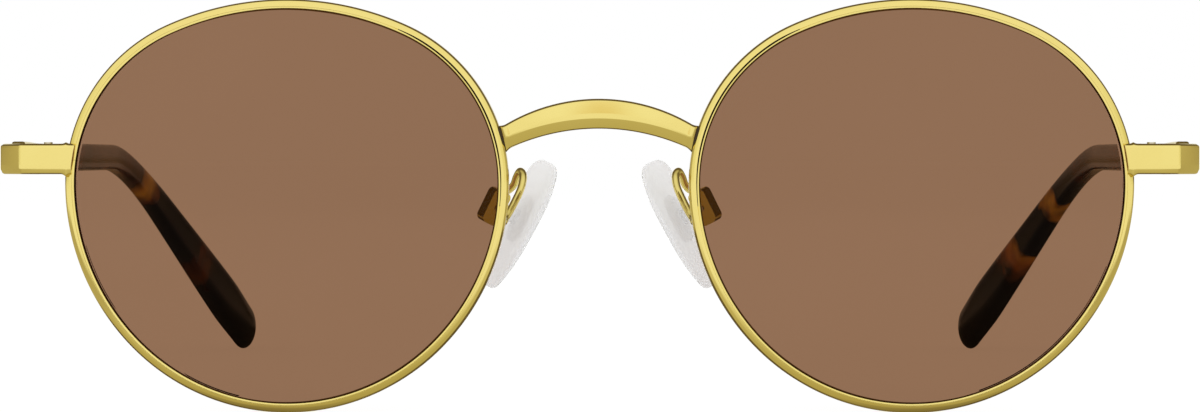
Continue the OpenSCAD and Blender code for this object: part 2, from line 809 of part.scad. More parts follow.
// Hand-chosen route of the pad arm's wire, from the rim up, over and down to the box.
// Its first point lies in the rim and its last in the box, and both ends are cut to fit.
wire_route = [
    [rim_gap / 2 + 1.1, -0.9, wide_z - 5.9],
    [rim_gap / 2 + 0.5, 0.5, wide_z - 5.2],
    [rim_gap / 2 - 0.45, 2, wide_z - 3.3],
    [rim_gap / 2 - 1.15, 3.5, wide_z - 0.8],
    [rim_gap / 2 - 1.1, 4.8, wide_z + 0.7],
    [rim_gap / 2 - 0.45, 5.6, wide_z + 1.25],
    [rim_gap / 2 + 0.4, 6.1, wide_z + 0.6],
    from_pad([pad_axis_out + 0.25, 0, pad_axis_up + box_h / 2 + 0.5]),
    from_pad([pad_axis_out + 0.4, 0, pad_axis_up + box_h / 2 - 0.4])
];

// Smooth curve through the points of a route
function curve_point(a, b, c, d, u) =
    0.5 * (2 * b + (c - a) * u + (2 * a - 5 * b + 4 * c - d) * u * u + (3 * b - a - 3 * c + d) * u * u * u);
function curve(route, steps) = [
    for (i = [0:len(route) - 2])
        for (k = [0:i == len(route) - 2 ? steps : steps - 1])
            curve_point(
                route[max(0, i - 1)], route[i], route[i + 1], route[min(len(route) - 1, i + 2)], k / steps
            )
];

// Directions along a curve, and side vectors that turn with it as little as possible
function directions(path) = [
    for (i = [0:len(path) - 1])
        unit(path[min(len(path) - 1, i + 1)] - path[max(0, i - 1)])
];
function square_to(v, d) = unit(v - (v * d) * d);
function side_vectors(dirs) = [
    for (i = 0, v = square_to([1, 0, 0.3], dirs[0]);
        i < len(dirs);
        i = i + 1, v = i < len(dirs) ? square_to(v, dirs[i]) : v)
        v
];

module wire(route, r) {
    path = curve(route, 4);
    dirs = directions(path);
    sides = side_vectors(dirs);
    count = 10;
    rings = [
        for (i = [0:len(path) - 1])
            let (u = sides[i], v = cross(dirs[i], u))
                [for (j = [0:count - 1])
                    let (a = j * 360 / count)
                        path[i] + r * cos(a) * u + r * sin(a) * v]
    ];
    skin(rings);
}

module pad_arm() {
    color(gold) difference() {
        wire(wire_route, wire_r);
        rim_envelope();
        lens_opening(rim_depth);
        in_pad() box_body();
    }
}

part_frame() right_side() rim();  // right_rim
part_frame() rim();  // left_rim
part_frame() right_side() lens();  // right_lens
part_frame() lens();  // left_lens
part_frame() bridge();
part_frame() right_side() end_piece();  // right_end_piece
part_frame() end_piece();  // left_end_piece
part_frame() right_side() upper_closing_block();  // right_upper_closing_block
part_frame() upper_closing_block();  // left_upper_closing_block
part_frame() right_side() lower_closing_block();  // right_lower_closing_block
part_frame() lower_closing_block();  // left_lower_closing_block
part_frame() right_side() lock_screw();  // right_lock_screw
part_frame() lock_screw();  // left_lock_screw
part_frame() right_side() front_hinge();  // right_front_hinge
part_frame() front_hinge();  // left_front_hinge
part_frame() right_side() temple_hinge();  // right_temple_hinge
part_frame() temple_hinge();  // left_temple_hinge
part_frame() right_side() hinge_screw();  // right_hinge_screw
part_frame() hinge_screw();  // left_hinge_screw
part_frame() right_side() temple_arm();  // right_temple_arm
part_frame() temple_arm();  // left_temple_arm
part_frame() right_side() temple_sleeve();  // right_temple_sleeve
part_frame() temple_sleeve();  // left_temple_sleeve
part_frame() right_side() pad_arm();  // right_pad_arm
part_frame() pad_arm();  // left_pad_arm
part_frame() right_side() pad_box();  // right_pad_box
part_frame() pad_box();  // left_pad_box
part_frame() right_side() pad_screw();  // right_pad_screw
part_frame() pad_screw();  // left_pad_screw
part_frame() right_side() pad_insert();  // right_pad_insert
part_frame() pad_insert();  // left_pad_insert
part_frame() right_side() nose_pad();  // right_nose_pad
part_frame() nose_pad();  // left_nose_pad

// Where the joints are
echo(hinge_at = [axis_x, hinge_y - mid_y, end_z]);
echo(pad_screw_at = from_pad([pad_axis_out, 0, pad_axis_up]) - [0, mid_y, 0]);
echo(pad_screw_axis = from_pad([0, 1, 0]) - pad_mid);
echo(overall = [front_y - mid_y, back_y - mid_y], temple_length = temple_l);
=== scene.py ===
# %% [markdown]
# Round metal glasses with brown lenses
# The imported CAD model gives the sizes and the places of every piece. This lesson puts finished
# surfaces over it: polished gold plating, brown sun lenses, mottled plastic sleeves and clear pads.
# Each step says what the piece is on a real pair, how it could be made, and why this way was taken.

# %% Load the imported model
import json
import math

import bpy
import numpy as np
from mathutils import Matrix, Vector


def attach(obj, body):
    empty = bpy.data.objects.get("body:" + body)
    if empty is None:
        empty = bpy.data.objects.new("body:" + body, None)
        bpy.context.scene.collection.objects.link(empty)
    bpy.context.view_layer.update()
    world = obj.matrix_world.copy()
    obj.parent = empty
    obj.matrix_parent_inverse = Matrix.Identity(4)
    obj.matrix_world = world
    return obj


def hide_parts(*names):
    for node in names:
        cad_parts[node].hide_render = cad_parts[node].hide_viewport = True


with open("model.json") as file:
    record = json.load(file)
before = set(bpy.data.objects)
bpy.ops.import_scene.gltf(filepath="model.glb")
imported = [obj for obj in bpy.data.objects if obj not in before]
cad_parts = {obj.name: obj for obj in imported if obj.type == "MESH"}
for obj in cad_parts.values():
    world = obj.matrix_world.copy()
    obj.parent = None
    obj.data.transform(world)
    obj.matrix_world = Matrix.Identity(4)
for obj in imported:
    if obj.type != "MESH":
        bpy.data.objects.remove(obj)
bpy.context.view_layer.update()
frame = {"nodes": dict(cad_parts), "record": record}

MM = 0.001

# %% [markdown]
# Sizes
# The pieces below are drawn again with finer surfaces, so they need the same sizes as the CAD
# model. They are written once here, in millimetres, and every piece takes them from here.
# The rims stand ahead of the middle of the whole pair. How far ahead is read off the hinge of the
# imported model, so the drawn pieces land on their CAD nodes with no fitting.

# %% Sizes in millimetres
RIM_W = 51.2
RIM_RISE = 21.1
RIM_FALL = 26.3
CAP_HALF_ANGLE = math.radians(24)
FOOT_HALF_ANGLE = math.radians(45)
RIM_GAP = 20.5
RIM_BAND = 1.1
RIM_DEPTH = 1.9
GROOVE_DEPTH = 0.5
WRAP = math.radians(3)
LENS_R = 120.0
LENS_T = 2.0
LENS_PLAY = 0.05
END_RISE = 2.8
HINGE_SPAN = 138.4
HINGE_Y = 9.75
BUTT_GAP = 0.1
ARM_T = 1.6
RIM_X = RIM_GAP / 2 + RIM_W / 2
WIDE_Z = RIM_FALL
END_Z = WIDE_Z + END_RISE
ARM_X = HINGE_SPAN / 2 - ARM_T / 2
QUARTER = math.pi / 2
hinge_row = next(j for j in frame["record"]["behaviour"]["joints"] if j["name"] == "left_temple_fold")
MID_Y = HINGE_Y - hinge_row["pos_m"][1] / MM
print("middle of a rim:", RIM_X, "widest line:", WIDE_Z, "end piece:", END_Z, "rims ahead:", round(MID_Y, 3))

# %% [markdown]
# Camera
# The photograph looks straight at the front from about 41 cm. The temples run toward one
# vanishing point a little right of the middle and well above it, so the camera stands there and
# turns slightly down and to the left to hold the front in the frame. A shift of the lens would do
# the same, but a turned camera keeps the other views simple.

# %% Camera
SENSOR_W = 36
CAMERA_AWAY = 409.0
CAMERA_ASIDE = 3.5
CAMERA_UP = 29.2
AIM_ASIDE = 0.12
AIM_UP = 23.7
FRONT_SEEN = 137.62
camera_data = bpy.data.cameras.new("camera")
camera_data.sensor_fit = "HORIZONTAL"
camera_data.sensor_width = SENSOR_W
camera_data.lens = SENSOR_W * CAMERA_AWAY / FRONT_SEEN
camera_data.clip_start = 0.01
camera_data.clip_end = 100
camera = bpy.data.objects.new("camera", camera_data)
bpy.context.scene.collection.objects.link(camera)
camera.location = Vector((CAMERA_ASIDE, -MID_Y - CAMERA_AWAY, CAMERA_UP)) * MM
aim = Vector((AIM_ASIDE, -MID_Y, AIM_UP)) * MM
camera.rotation_euler = (aim - camera.location).to_track_quat("-Z", "Y").to_euler()
bpy.context.scene.camera = camera
print("focal length:", round(camera_data.lens, 1))

# %% [markdown]
# Room
# Polished metal is a mirror, so what it shows is the room. A product photographer stands the
# glasses on white, with broad soft boxes in front and darker cards above and behind, which draw
# the thin dark edges round the gold. Here the world plays that room. Two colour ramps run from
# behind the glasses to the camera: one for level directions, where side walls stay mid-toned, and
# one for steep directions, where the ceiling is white ahead and dark behind. Only mirror rays see
# them. The eye, and rays that pass through the lenses, see plain white. All other rays meet a
# softer white, which keeps the shadows.

# %% Small helpers for node trees
scene = bpy.context.scene
scene.view_settings.view_transform = "Standard"


def wire(tree, start, end):
    tree.links.new(start, end)


def add_node(tree, kind, **settings):
    node = tree.nodes.new(kind)
    for key, value in settings.items():
        if key in node.inputs:
            node.inputs[key].default_value = value
        else:
            setattr(node, key, value)
    return node


def feed(tree, socket, value):
    """Gives a socket another socket, a plain colour or a number."""
    if isinstance(value, bpy.types.NodeSocket):
        wire(tree, value, socket)
    elif isinstance(value, tuple):
        socket.default_value = (*value, 1)
    else:
        socket.default_value = value


def calculate(tree, operation, *values):
    node = add_node(tree, "ShaderNodeMath", operation=operation)
    for socket, value in zip(node.inputs, values):
        feed(tree, socket, value)
    return node.outputs[0]


def map_range(tree, value, low, high, start=0.0, end=1.0):
    """Maps low to start and high to end, and holds the value outside of them."""
    node = add_node(tree, "ShaderNodeMapRange")
    names = ("Value", "From Min", "From Max", "To Min", "To Max")
    for name, given in zip(names, (value, low, high, start, end)):
        feed(tree, node.inputs[name], given)
    return node.outputs["Result"]


def split_place(tree, kind):
    """The x, y and z sockets of a texture coordinate."""
    axes = add_node(tree, "ShaderNodeSeparateXYZ")
    wire(tree, add_node(tree, "ShaderNodeTexCoord").outputs[kind], axes.inputs[0])
    return axes.outputs


def add_ramp(tree, factor, stops):
    """A colour ramp with stops given as a place from 0 to 1 and a colour."""
    node = add_node(tree, "ShaderNodeValToRGB")
    ramp = node.color_ramp
    while len(ramp.elements) > 1:
        ramp.elements.remove(ramp.elements[-1])
    ramp.elements[0].position = stops[0][0]
    ramp.elements[0].color = (*stops[0][1], 1)
    for position, colour in stops[1:]:
        ramp.elements.new(position).color = (*colour, 1)
    wire(tree, factor, node.inputs["Fac"])
    return node.outputs["Color"]


def mix_colours(tree, factor, first, second, blend="MIX"):
    """Mixes two colours, each a socket or a plain colour, by a socket or a number."""
    node = add_node(tree, "ShaderNodeMix", data_type="RGBA", blend_type=blend)
    for number, value in ((0, factor), (6, first), (7, second)):
        feed(tree, node.inputs[number], value)
    return node.outputs[2]


# %% Room that the metal reflects
DARK = (0.14, 0.11, 0.07)
BACKDROP = (0.8, 0.79, 0.76)
LEVEL_STOPS = [
    (0.05, BACKDROP),
    (0.085, (0.2, 0.17, 0.13)),
    (0.12, (0.14, 0.12, 0.09)),
    (0.22, (0.16, 0.13, 0.1)),
    (0.27, (0.3, 0.26, 0.17)),
    (0.33, (0.36, 0.31, 0.2)),
    (0.38, (0.5, 0.44, 0.28)),
    (0.42, (0.57, 0.52, 0.36)),
    (0.6, (0.68, 0.64, 0.45)),
    (0.75, (0.8, 0.77, 0.58)),
    (0.87, (0.88, 0.86, 0.72)),
    (0.95, (0.96, 0.94, 0.88)),
    (0.985, (1.0, 1.0, 1.0)),
    (0.9957, (1.0, 1.0, 1.0)),
    (0.9978, (0.885, 0.79, 0.6)),
    (1.0, (0.885, 0.78, 0.59)),
]
STEEP_STOPS = [
    (0.05, BACKDROP),
    (0.085, DARK),
    (0.4, DARK),
    (0.47, (0.5, 0.46, 0.36)),
    (0.56, (0.72, 0.7, 0.62)),
    (0.7, (0.95, 0.94, 0.9)),
    (1.0, (1.0, 0.99, 0.97)),
]
world = bpy.data.worlds.new("studio")
scene.world = world
world.use_nodes = True
room = world.node_tree
room.nodes.clear()
_, depth, height = split_place(room, "Generated")
ahead = calculate(room, "MULTIPLY_ADD", depth, -0.5, 0.5)
steep = map_range(room, calculate(room, "ABSOLUTE", height), 0.15, 0.5)
level = add_ramp(room, ahead, LEVEL_STOPS)
overhead = add_ramp(room, ahead, STEEP_STOPS)
walls = mix_colours(room, steep, level, overhead)

# %% What each kind of ray sees


def join_shaders(tree, kind, *sockets):
    node = add_node(tree, kind)
    for start, end in zip(sockets, node.inputs):
        wire(tree, start, end)
    return node.outputs[0]


def show_by_ray(tree, elsewhere, in_mirror, to_eye, kind):
    """Ends a tree with one shader for mirror rays, one for the eye and one for all other rays.

    Rays that pass through the lenses count as the eye's.
    """
    path = add_node(tree, "ShaderNodeLightPath").outputs
    seen = calculate(tree, "MAXIMUM", path["Is Camera Ray"], path["Is Transmission Ray"])
    by_mirror = join_shaders(tree, "ShaderNodeMixShader", path["Is Glossy Ray"], elsewhere, in_mirror)
    by_eye = join_shaders(tree, "ShaderNodeMixShader", seen, by_mirror, to_eye)
    wire(tree, by_eye, add_node(tree, kind).inputs["Surface"])


def add_light(tree, kind, colour, strength=1.0):
    """A background or an emission of a colour, given as a socket or as a plain colour."""
    node = add_node(tree, kind, Strength=strength)
    feed(tree, node.inputs["Color"], colour)
    return node.outputs[0]


white, soft = (add_light(room, "ShaderNodeBackground", (1, 1, 1), strength) for strength in (1.0, 0.6))
mirrored = add_light(room, "ShaderNodeBackground", walls)
show_by_ray(room, soft, mirrored, white, "ShaderNodeOutputWorld")
print("room colours:", len(LEVEL_STOPS), "level and", len(STEEP_STOPS), "steep")

# %% [markdown]
# Floor
# The floor is a sheet of white paper. To the eye it glows just enough to be white, with a little
# plain reflection added, so the shadow of the glasses still falls on it. Mirror rays see painted
# tones on it by depth: a painted shadow under the glasses, painted warm light just ahead of them
# for the light that the gold throws down, and white beyond that. Right beside the glasses they
# see one painted middle tone.

# %% Floor
FLOOR_REACH = 30.0
FLOOR_NEAR = -0.2
FLOOR_FAR = 0.2
# The painted tone beside the glasses comes in between these places, sideways and in depth
ASIDE = (0.07, 0.085)
ALONG = (-0.2, -0.14)
# Painted tones that mirror rays see by depth: white ahead, painted warm light, painted shadow under the
# glasses, mid tones behind
FLOOR_STOPS = [
    (0.0, (0.97, 0.96, 0.93)),
    (0.13, (0.95, 0.94, 0.9)),
    (0.2, (0.74, 0.7, 0.56)),
    (0.26, (0.6, 0.55, 0.38)),
    (0.31, (0.5, 0.445, 0.27)),
    (0.322, (0.48, 0.42, 0.25)),
    (0.3265, DARK),
    (0.75, DARK),
    (0.85, (0.6, 0.58, 0.5)),
    (0.92, BACKDROP),
]
# A painted middle tone that mirror rays see beside the glasses
FLOOR_ASIDE = (0.5, 0.45, 0.3)
floor_mesh = bpy.data.meshes.new("floor")
corners = [(x * FLOOR_REACH, y * FLOOR_REACH, 0) for x, y in ((-1, -1), (1, -1), (1, 1), (-1, 1))]
floor_mesh.from_pydata(corners, [], [(0, 1, 2, 3)])
floor = bpy.data.objects.new("floor", floor_mesh)
scene.collection.objects.link(floor)

paper = bpy.data.materials.new("white_paper")
paper.use_nodes = True
tree = paper.node_tree
tree.nodes.clear()
sideways, depth, _ = split_place(tree, "Object")
by_depth = add_ramp(tree, map_range(tree, depth, FLOOR_NEAR, FLOOR_FAR), FLOOR_STOPS)
aside = map_range(tree, calculate(tree, "ABSOLUTE", sideways), *ASIDE)
beside = calculate(tree, "MULTIPLY", aside, map_range(tree, depth, *ALONG))
in_mirror = add_light(tree, "ShaderNodeEmission", mix_colours(tree, beside, by_depth, FLOOR_ASIDE))
lit, plain = (
    add_node(tree, "ShaderNodeBsdfDiffuse", Color=(grey, grey, grey, 1)).outputs[0] for grey in (0.1, 0.8)
)
glow = add_light(tree, "ShaderNodeEmission", (1, 1, 1), 0.94)
shown = join_shaders(tree, "ShaderNodeAddShader", lit, glow)
show_by_ray(tree, plain, in_mirror, shown, "ShaderNodeOutputMaterial")
floor_mesh.materials.append(paper)
print("floor:", FLOOR_REACH * 2, "m wide")

# %% [markdown]
# Lamps
# Four broad area lamps stand in for soft boxes: one above and ahead, one at each side and one
# behind. They are large for the size of the glasses, so shadows stay soft, and weak enough that a
# colour shows about as it is written.

# %% Lamps
LAMPS = [
    ("key_box", (-0.25, -0.8, 0.9), 1.0, 3.2),
    ("left_box", (0.95, -0.2, 0.55), 0.8, 1.8),
    ("right_box", (-0.95, -0.1, 0.55), 0.8, 1.8),
    ("back_box", (0.1, 0.95, 0.9), 0.9, 2.2),
]
for name, spot, size, power in LAMPS:
    lamp_data = bpy.data.lights.new(name, "AREA")
    lamp_data.size = size
    lamp_data.energy = power
    lamp = bpy.data.objects.new(name, lamp_data)
    lamp.location = spot
    lamp.rotation_euler = (Vector((0, 0, 0.02)) - lamp.location).to_track_quat("-Z", "Y").to_euler()
    scene.collection.objects.link(lamp)
    # The metal shows the tones of the room and not the lamps themselves
    lamp.visible_glossy = False
print("lamps:", [name for name, *_ in LAMPS])

# %% [markdown]
# Shared effects
# Three traits of real surfaces return on several finishes here: fine polishing lines, the faint
# haze that fingers and cloths leave, and slow changes of tone. The lines are one node group, and
# one of clouds gives the haze and the tones. Every material sets their scale and depth. They give
# only heights and values. The shader that uses them stays in the material.

# %% Start of a shared group


def new_group(name, inputs, outputs):
    group = bpy.data.node_groups.new(name, "ShaderNodeTree")
    for label, default in inputs:
        socket = group.interface.new_socket(label, in_out="INPUT", socket_type="NodeSocketFloat")
        socket.default_value = default
    for label, kind in outputs:
        group.interface.new_socket(label, in_out="OUTPUT", socket_type=kind)
    start = group.nodes.new("NodeGroupInput")
    end = group.nodes.new("NodeGroupOutput")
    return group, start.outputs, end.inputs


def add_noise(tree, place, scale, **settings):
    node = add_node(tree, "ShaderNodeTexNoise", **settings)
    feed(tree, node.inputs["Vector"], place)
    feed(tree, node.inputs["Scale"], scale)
    return node.outputs["Fac"]


# %% Polishing lines


def build_polish_lines():
    """Fine lines along one direction, as a wheel or a cloth leaves them."""
    group, given, result = new_group(
        "polish_lines", [("Scale", 900.0), ("Stretch", 0.06)], [("Height", "NodeSocketFloat")]
    )
    place = add_node(group, "ShaderNodeTexCoord").outputs["Object"]
    squeeze = add_node(group, "ShaderNodeCombineXYZ", Y=1.0, Z=1.0)
    wire(group, given["Stretch"], squeeze.inputs["X"])
    stretched = add_node(group, "ShaderNodeVectorMath", operation="MULTIPLY")
    wire(group, place, stretched.inputs[0])
    wire(group, squeeze.outputs[0], stretched.inputs[1])
    lines = add_noise(group, stretched.outputs[0], given["Scale"], Detail=4.0, Roughness=0.6)
    wire(group, lines, result["Height"])
    return group


# %% Haze of handling


def build_handling_haze():
    """A cloudy value between a low and a high one, used as roughness or as a tone."""
    group, given, result = new_group(
        "handling_haze", [("Scale", 90.0), ("Low", 0.1), ("High", 0.2)], [("Value", "NodeSocketFloat")]
    )
    place = add_node(group, "ShaderNodeTexCoord").outputs["Object"]
    clouds = add_noise(group, place, given["Scale"], Detail=5.0, Roughness=0.65)
    wire(group, map_range(group, clouds, 0.3, 0.7, given["Low"], given["High"]), result["Value"])
    return group


polish_lines = build_polish_lines()
handling_haze = build_handling_haze()
print("groups:", [g.name for g in bpy.data.node_groups])

# %% [markdown]
# Finishes
# Every finish is a Principled shader. The plating is bare metal: its colour is the colour of
# its reflections, so it has no paint under it. The lens is glass with a brown tint. The sleeve is
# cellulose acetate, sawn from a block in which dark and amber pieces were pressed together, and
# then polished. The pads are soft silicone over a harder clear plate.

# %% Start of a material


def use_group(tree, group, **values):
    return add_node(tree, "ShaderNodeGroup", node_tree=group, **values).outputs[0]


def new_material(name, haze, **constants):
    """A Principled material with its roughness from the haze: its scale, lowest and highest value."""
    material = bpy.data.materials.new(name)
    material.use_nodes = True
    tree = material.node_tree
    shader = tree.nodes["Principled BSDF"]
    for key, value in constants.items():
        feed(tree, shader.inputs[key.replace("_", " ")], value)
    scale, low, high = haze
    roughness = use_group(tree, handling_haze, Scale=scale, Low=low, High=high)
    wire(tree, roughness, shader.inputs["Roughness"])
    return material, tree, shader


def new_finish(name, haze, drift, first, second, **constants):
    """A material whose colour drifts from a first to a second tone, in clouds of the drift's scale."""
    material, tree, shader = new_material(name, haze, **constants)
    tone = use_group(tree, handling_haze, Scale=drift, Low=0.0, High=1.0)
    wire(tree, add_ramp(tree, tone, [(0.0, first), (1.0, second)]), shader.inputs["Base Color"])
    return material


def add_polish(material, strength, distance, **lines):
    """Polishing lines as a bump on a material."""
    tree = material.node_tree
    bump = add_node(tree, "ShaderNodeBump", Strength=strength, Distance=distance)
    wire(tree, use_group(tree, polish_lines, **lines), bump.inputs["Height"])
    wire(tree, bump.outputs["Normal"], tree.nodes["Principled BSDF"].inputs["Normal"])


# %% Gold plating
gold = new_finish(
    "gold_plating", (160.0, 0.07, 0.13), 55.0, (0.875, 0.73, 0.235), (0.915, 0.77, 0.27), Metallic=1.0
)
add_polish(gold, 0.1, 0.00001, Scale=1500.0, Stretch=0.1)

# %% Painted shade in the fine line of the rims
# The fine line of the rims and the seams beside the bridge take a painted shade, dull and nearly black.
painted_line_shade = new_finish(
    "painted_line_shade", (400.0, 0.45, 0.65), 220.0, (0.03, 0.016, 0.004), (0.08, 0.05, 0.012), Metallic=0.4
)

# %% Steel of the screws
steel = new_finish(
    "screw_steel", (300.0, 0.18, 0.32), 500.0, (0.62, 0.58, 0.5), (0.76, 0.72, 0.64), Metallic=1.0
)
add_polish(steel, 0.2, 0.00002, Scale=2500.0, Stretch=1.0)

# %% Brown lens
# A coat on a real sun lens takes away nearly all of its mirror image, and a low IOR does the same.
lens_brown = new_finish(
    "brown_lens", (60.0, 0.0, 0.006), 25.0, (0.277, 0.152, 0.0868), (0.284, 0.156, 0.0897),
    Transmission_Weight=1.0, IOR=1.1
)

# %% Painted shade at the edge of a lens
painted_edge_shade = new_finish(
    "painted_lens_edge_shade", (300.0, 0.5, 0.7), 160.0, (0.06, 0.022, 0.003), (0.085, 0.033, 0.006), IOR=1.08
)

# %% Clear silicone of the pads
silicone = new_finish(
    "clear_silicone", (120.0, 0.12, 0.18), 110.0, (0.965, 0.965, 0.967), (0.99, 0.99, 0.992),
    Transmission_Weight=0.64, IOR=1.02
)

# %% Hard clear plate in the pads
clear_plate = new_finish(
    "clear_plate", (300.0, 0.06, 0.16), 180.0, (0.93, 0.93, 0.935), (0.97, 0.97, 0.97),
    Transmission_Weight=0.86, IOR=1.06
)

# %% [markdown]
# Tortoise acetate
# In a block of tortoise acetate the amber and the dark pieces lie in long lumps, so a sleeve cut
# from it shows a few large patches with sharp or smoky borders. Plain noise gives the borders but
# puts the patches anywhere. Here a measure along the sleeve is pushed about by noise and then
# coloured by a ramp, one for each temple, so the patches sit where the photograph shows them.

# %% Tortoise acetate
BLACK = (0.005, 0.003, 0.002)
RED_BROWN = (0.12, 0.035, 0.012)
AMBER = (0.42, 0.2, 0.02)
HONEY = (0.58, 0.33, 0.04)
STRAIGHT_BROWN = (0.085, 0.045, 0.022)
# The pattern is measured along this direction, close to the way that the sleeve takes, and its
# zero lies at this length behind the hinge
PATTERN_WAY = Vector((0, 0.85, -0.5))
PATTERN_ZERO = 76
PATTERN_RATE = 0.95
PATTERN_START = -36.0
PATTERN_END = 62.0
PATTERN_PUSH = 11.0


def patch_stops(ahead, behind):
    """Stops of a ramp: those ahead by their share, and those behind by the length along the temple."""
    span = PATTERN_END - PATTERN_START
    return ahead + [
        ((PATTERN_RATE * (length - PATTERN_ZERO) - PATTERN_START) / span, colour)
        for length, colour in behind
    ]


def build_tortoise(name, patches):
    material, tree, shader = new_material(name, (130.0, 0.1, 0.2), IOR=1.22)
    place = add_node(tree, "ShaderNodeTexCoord").outputs["Object"]
    along = add_node(tree, "ShaderNodeVectorMath", operation="DOT_PRODUCT")
    along.inputs[1].default_value = PATTERN_WAY / MM
    wire(tree, place, along.inputs[0])
    large = add_noise(tree, place, 130.0, Detail=2.5, Roughness=0.55)
    pushed = calculate(tree, "MULTIPLY_ADD", large, PATTERN_PUSH, along.outputs["Value"])
    start, end = (limit + PATTERN_PUSH / 2 for limit in (PATTERN_START, PATTERN_END))
    coloured = add_ramp(tree, map_range(tree, pushed, start, end), patches)
    smoke = add_noise(tree, place, 330.0, Detail=4.0, Roughness=0.6)
    shade = add_ramp(tree, smoke, [(0.3, (0.3, 0.25, 0.22)), (0.62, (1.15, 1.15, 1.15))])
    wire(tree, mix_colours(tree, 1.0, coloured, shade, "MULTIPLY"), shader.inputs["Base Color"])
    return material


# %% The two sleeves
# At the front of each sleeve, just behind the rim, the ramp puts a near-black band
right_patches = patch_stops(
    [(0.07, RED_BROWN), (0.1, BLACK), (0.14, BLACK), (0.18, STRAIGHT_BROWN)],
    [
        (73, STRAIGHT_BROWN), (79, (0.075, 0.028, 0.014)), (87, (0.045, 0.015, 0.007)), (90.5, AMBER),
        (92.8, HONEY), (94.8, RED_BROWN), (96.5, BLACK), (112.5, BLACK), (114.5, (0.09, 0.025, 0.008)),
        (117.5, (0.08, 0.026, 0.007)), (119.5, BLACK),
    ],
)
left_patches = patch_stops(
    [(0.0, BLACK), (0.06, AMBER), (0.13, RED_BROWN), (0.19, STRAIGHT_BROWN)],
    [
        (76, STRAIGHT_BROWN), (81, (0.05, 0.022, 0.014)), (85, (0.06, 0.018, 0.008)), (88, BLACK),
        (96, BLACK), (97, AMBER), (98.7, HONEY), (100.2, AMBER), (101.2, BLACK), (111, BLACK),
        (112.5, AMBER), (116, (0.34, 0.12, 0.02)), (118.5, BLACK),
    ],
)
tortoise = {
    "left": build_tortoise("tortoise_acetate_left", left_patches),
    "right": build_tortoise("tortoise_acetate_right", right_patches),
}
print("materials:", sorted(m.name for m in bpy.data.materials))

# %% [markdown]
# Drawing by rings
# Almost every piece of a pair of glasses is a bar whose section changes along a line: the rim
# wire, the bridge, the arms and the sleeves. Such a piece could start as a curve with a bevel
# object, but a list of rings gives each section its own size and turn. The helpers here join
# rings into a skin, round the corners of a section, and set each piece on its body.

# %% Small geometry


def unit(v):
    v = np.asarray(v, float)
    return v / np.linalg.norm(v)


def lerp(a, b, u):
    return a + (b - a) * u


def ease(u):
    c = min(1.0, max(0.0, u))
    return c * c * (3 - 2 * c)


def soft_bend(before, here, after, run, steps):
    """Points of a soft bend that replaces a corner over the same run on both sides."""
    start, end = here + unit(before - here) * run, here + unit(after - here) * run
    shares = [k / steps for k in range(steps + 1)]
    return [(1 - u) ** 2 * start + 2 * u * (1 - u) * here + u * u * end for u in shares]


def round_corners(points, radii, steps):
    """A closed outline with each corner replaced by a soft bend of its own radius."""
    points = np.array(points, float)
    out = []
    for i, (here, radius) in enumerate(zip(points, np.broadcast_to(radii, len(points)))):
        before, after = points[i - 1], points[(i + 1) % len(points)]
        cosine = float(unit(before - here) @ unit(after - here))
        half = math.acos(max(-0.99999, min(0.99999, cosine))) / 2
        room = 0.48 * min(np.linalg.norm(before - here), np.linalg.norm(after - here))
        out += soft_bend(before, here, after, min(radius / math.tan(half), room), steps)
    return np.array(out)


# %% Skins


def loft(rings, caps=True):
    """Points and faces of a skin over rings of equal count, with its two end caps."""
    points = np.array(rings, float)
    number, count = points.shape[:2]
    faces = []
    for a in range(0, (number - 1) * count, count):
        for j in range(count):
            k = (j + 1) % count
            faces.append((a + j, a + k, a + count + k, a + count + j))
    if caps:
        faces.append(tuple(range(count - 1, -1, -1)))
        faces.append(tuple((number - 1) * count + j for j in range(count)))
    return points.reshape(-1, 3), faces


def is_outward(points, faces):
    """True when the faces of a closed mesh turn outward, by the sign of its volume."""
    total = 0.0
    middle = points.mean(axis=0)
    for face in faces:
        first = points[face[0]] - middle
        for k in range(1, len(face) - 1):
            total += first @ np.cross(points[face[k]] - middle, points[face[k + 1]] - middle)
    return total > 0


# %% Pieces on their bodies


def add_piece(name, skin, materials, body, node, sharp=35, second=()):
    """A closed skin drawn in millimetres with the rims at zero depth, set on its body.

    The faces whose numbers are in second take the second material.
    """
    points, faces = skin
    if not is_outward(points, faces):
        faces = [tuple(reversed(face)) for face in faces]
    mesh = bpy.data.meshes.new(name)
    mesh.from_pydata([tuple(p) for p in (points - (0, MID_Y, 0)) * MM], [], faces)
    for material in materials if isinstance(materials, tuple) else (materials,):
        mesh.materials.append(material)
    for number in second:
        mesh.polygons[number].material_index = 1
    mesh.shade_smooth()
    mesh.set_sharp_from_angle(angle=math.radians(sharp))
    mesh.update()
    piece = bpy.data.objects.new(name, mesh)
    scene.collection.objects.link(piece)
    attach(piece, body)
    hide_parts(node)


def add_pair(stem, skin, materials, body="front", sharp=35, second=()):
    """The same piece at +X for the wearer's left and mirrored for the right."""
    points, faces = skin
    for side, sign in (("left", 1), ("right", -1)):
        where = body if body == "front" else f"{side}_{body}"
        finish = materials[side] if isinstance(materials, dict) else materials
        turned = (points * (sign, 1, 1), faces)
        node = f"{side}_{stem}"
        add_piece(f"{node}_dressed", turned, finish, where, node, sharp, second)
    print(f"{stem}: {len(points)} points, {len(faces)} faces")


# %% [markdown]
# Rims
# A rim is drawn wire, rolled with a crowned outside and a groove inside, bent round a former and
# brazed to two small blocks where it is cut. It could be a curve with a bevel object. Here the
# outline is six arcs that meet without a kink, and the section rides along them, so the outline
# is exactly the one that the lens was cut to. The front of the wire has a narrow lip beside the
# lens, a fine line, and a crowned band that falls away to the outside. The photograph shows the
# line dark beside the bridge and hardly at all elsewhere, so it is deepest there. There its bottom
# also takes a painted shade.

# %% Outline of a rim


def quarter_radii(half_width, rise, turn):
    """Radii of the cap arc and the side arc of one quarter of the outline."""
    s, c = math.sin(turn), math.cos(turn)
    cap = (half_width * c - rise * (1 - s)) / (s * c - (1 - s) * (1 - c))
    return cap, (rise - cap * (1 - c)) / c


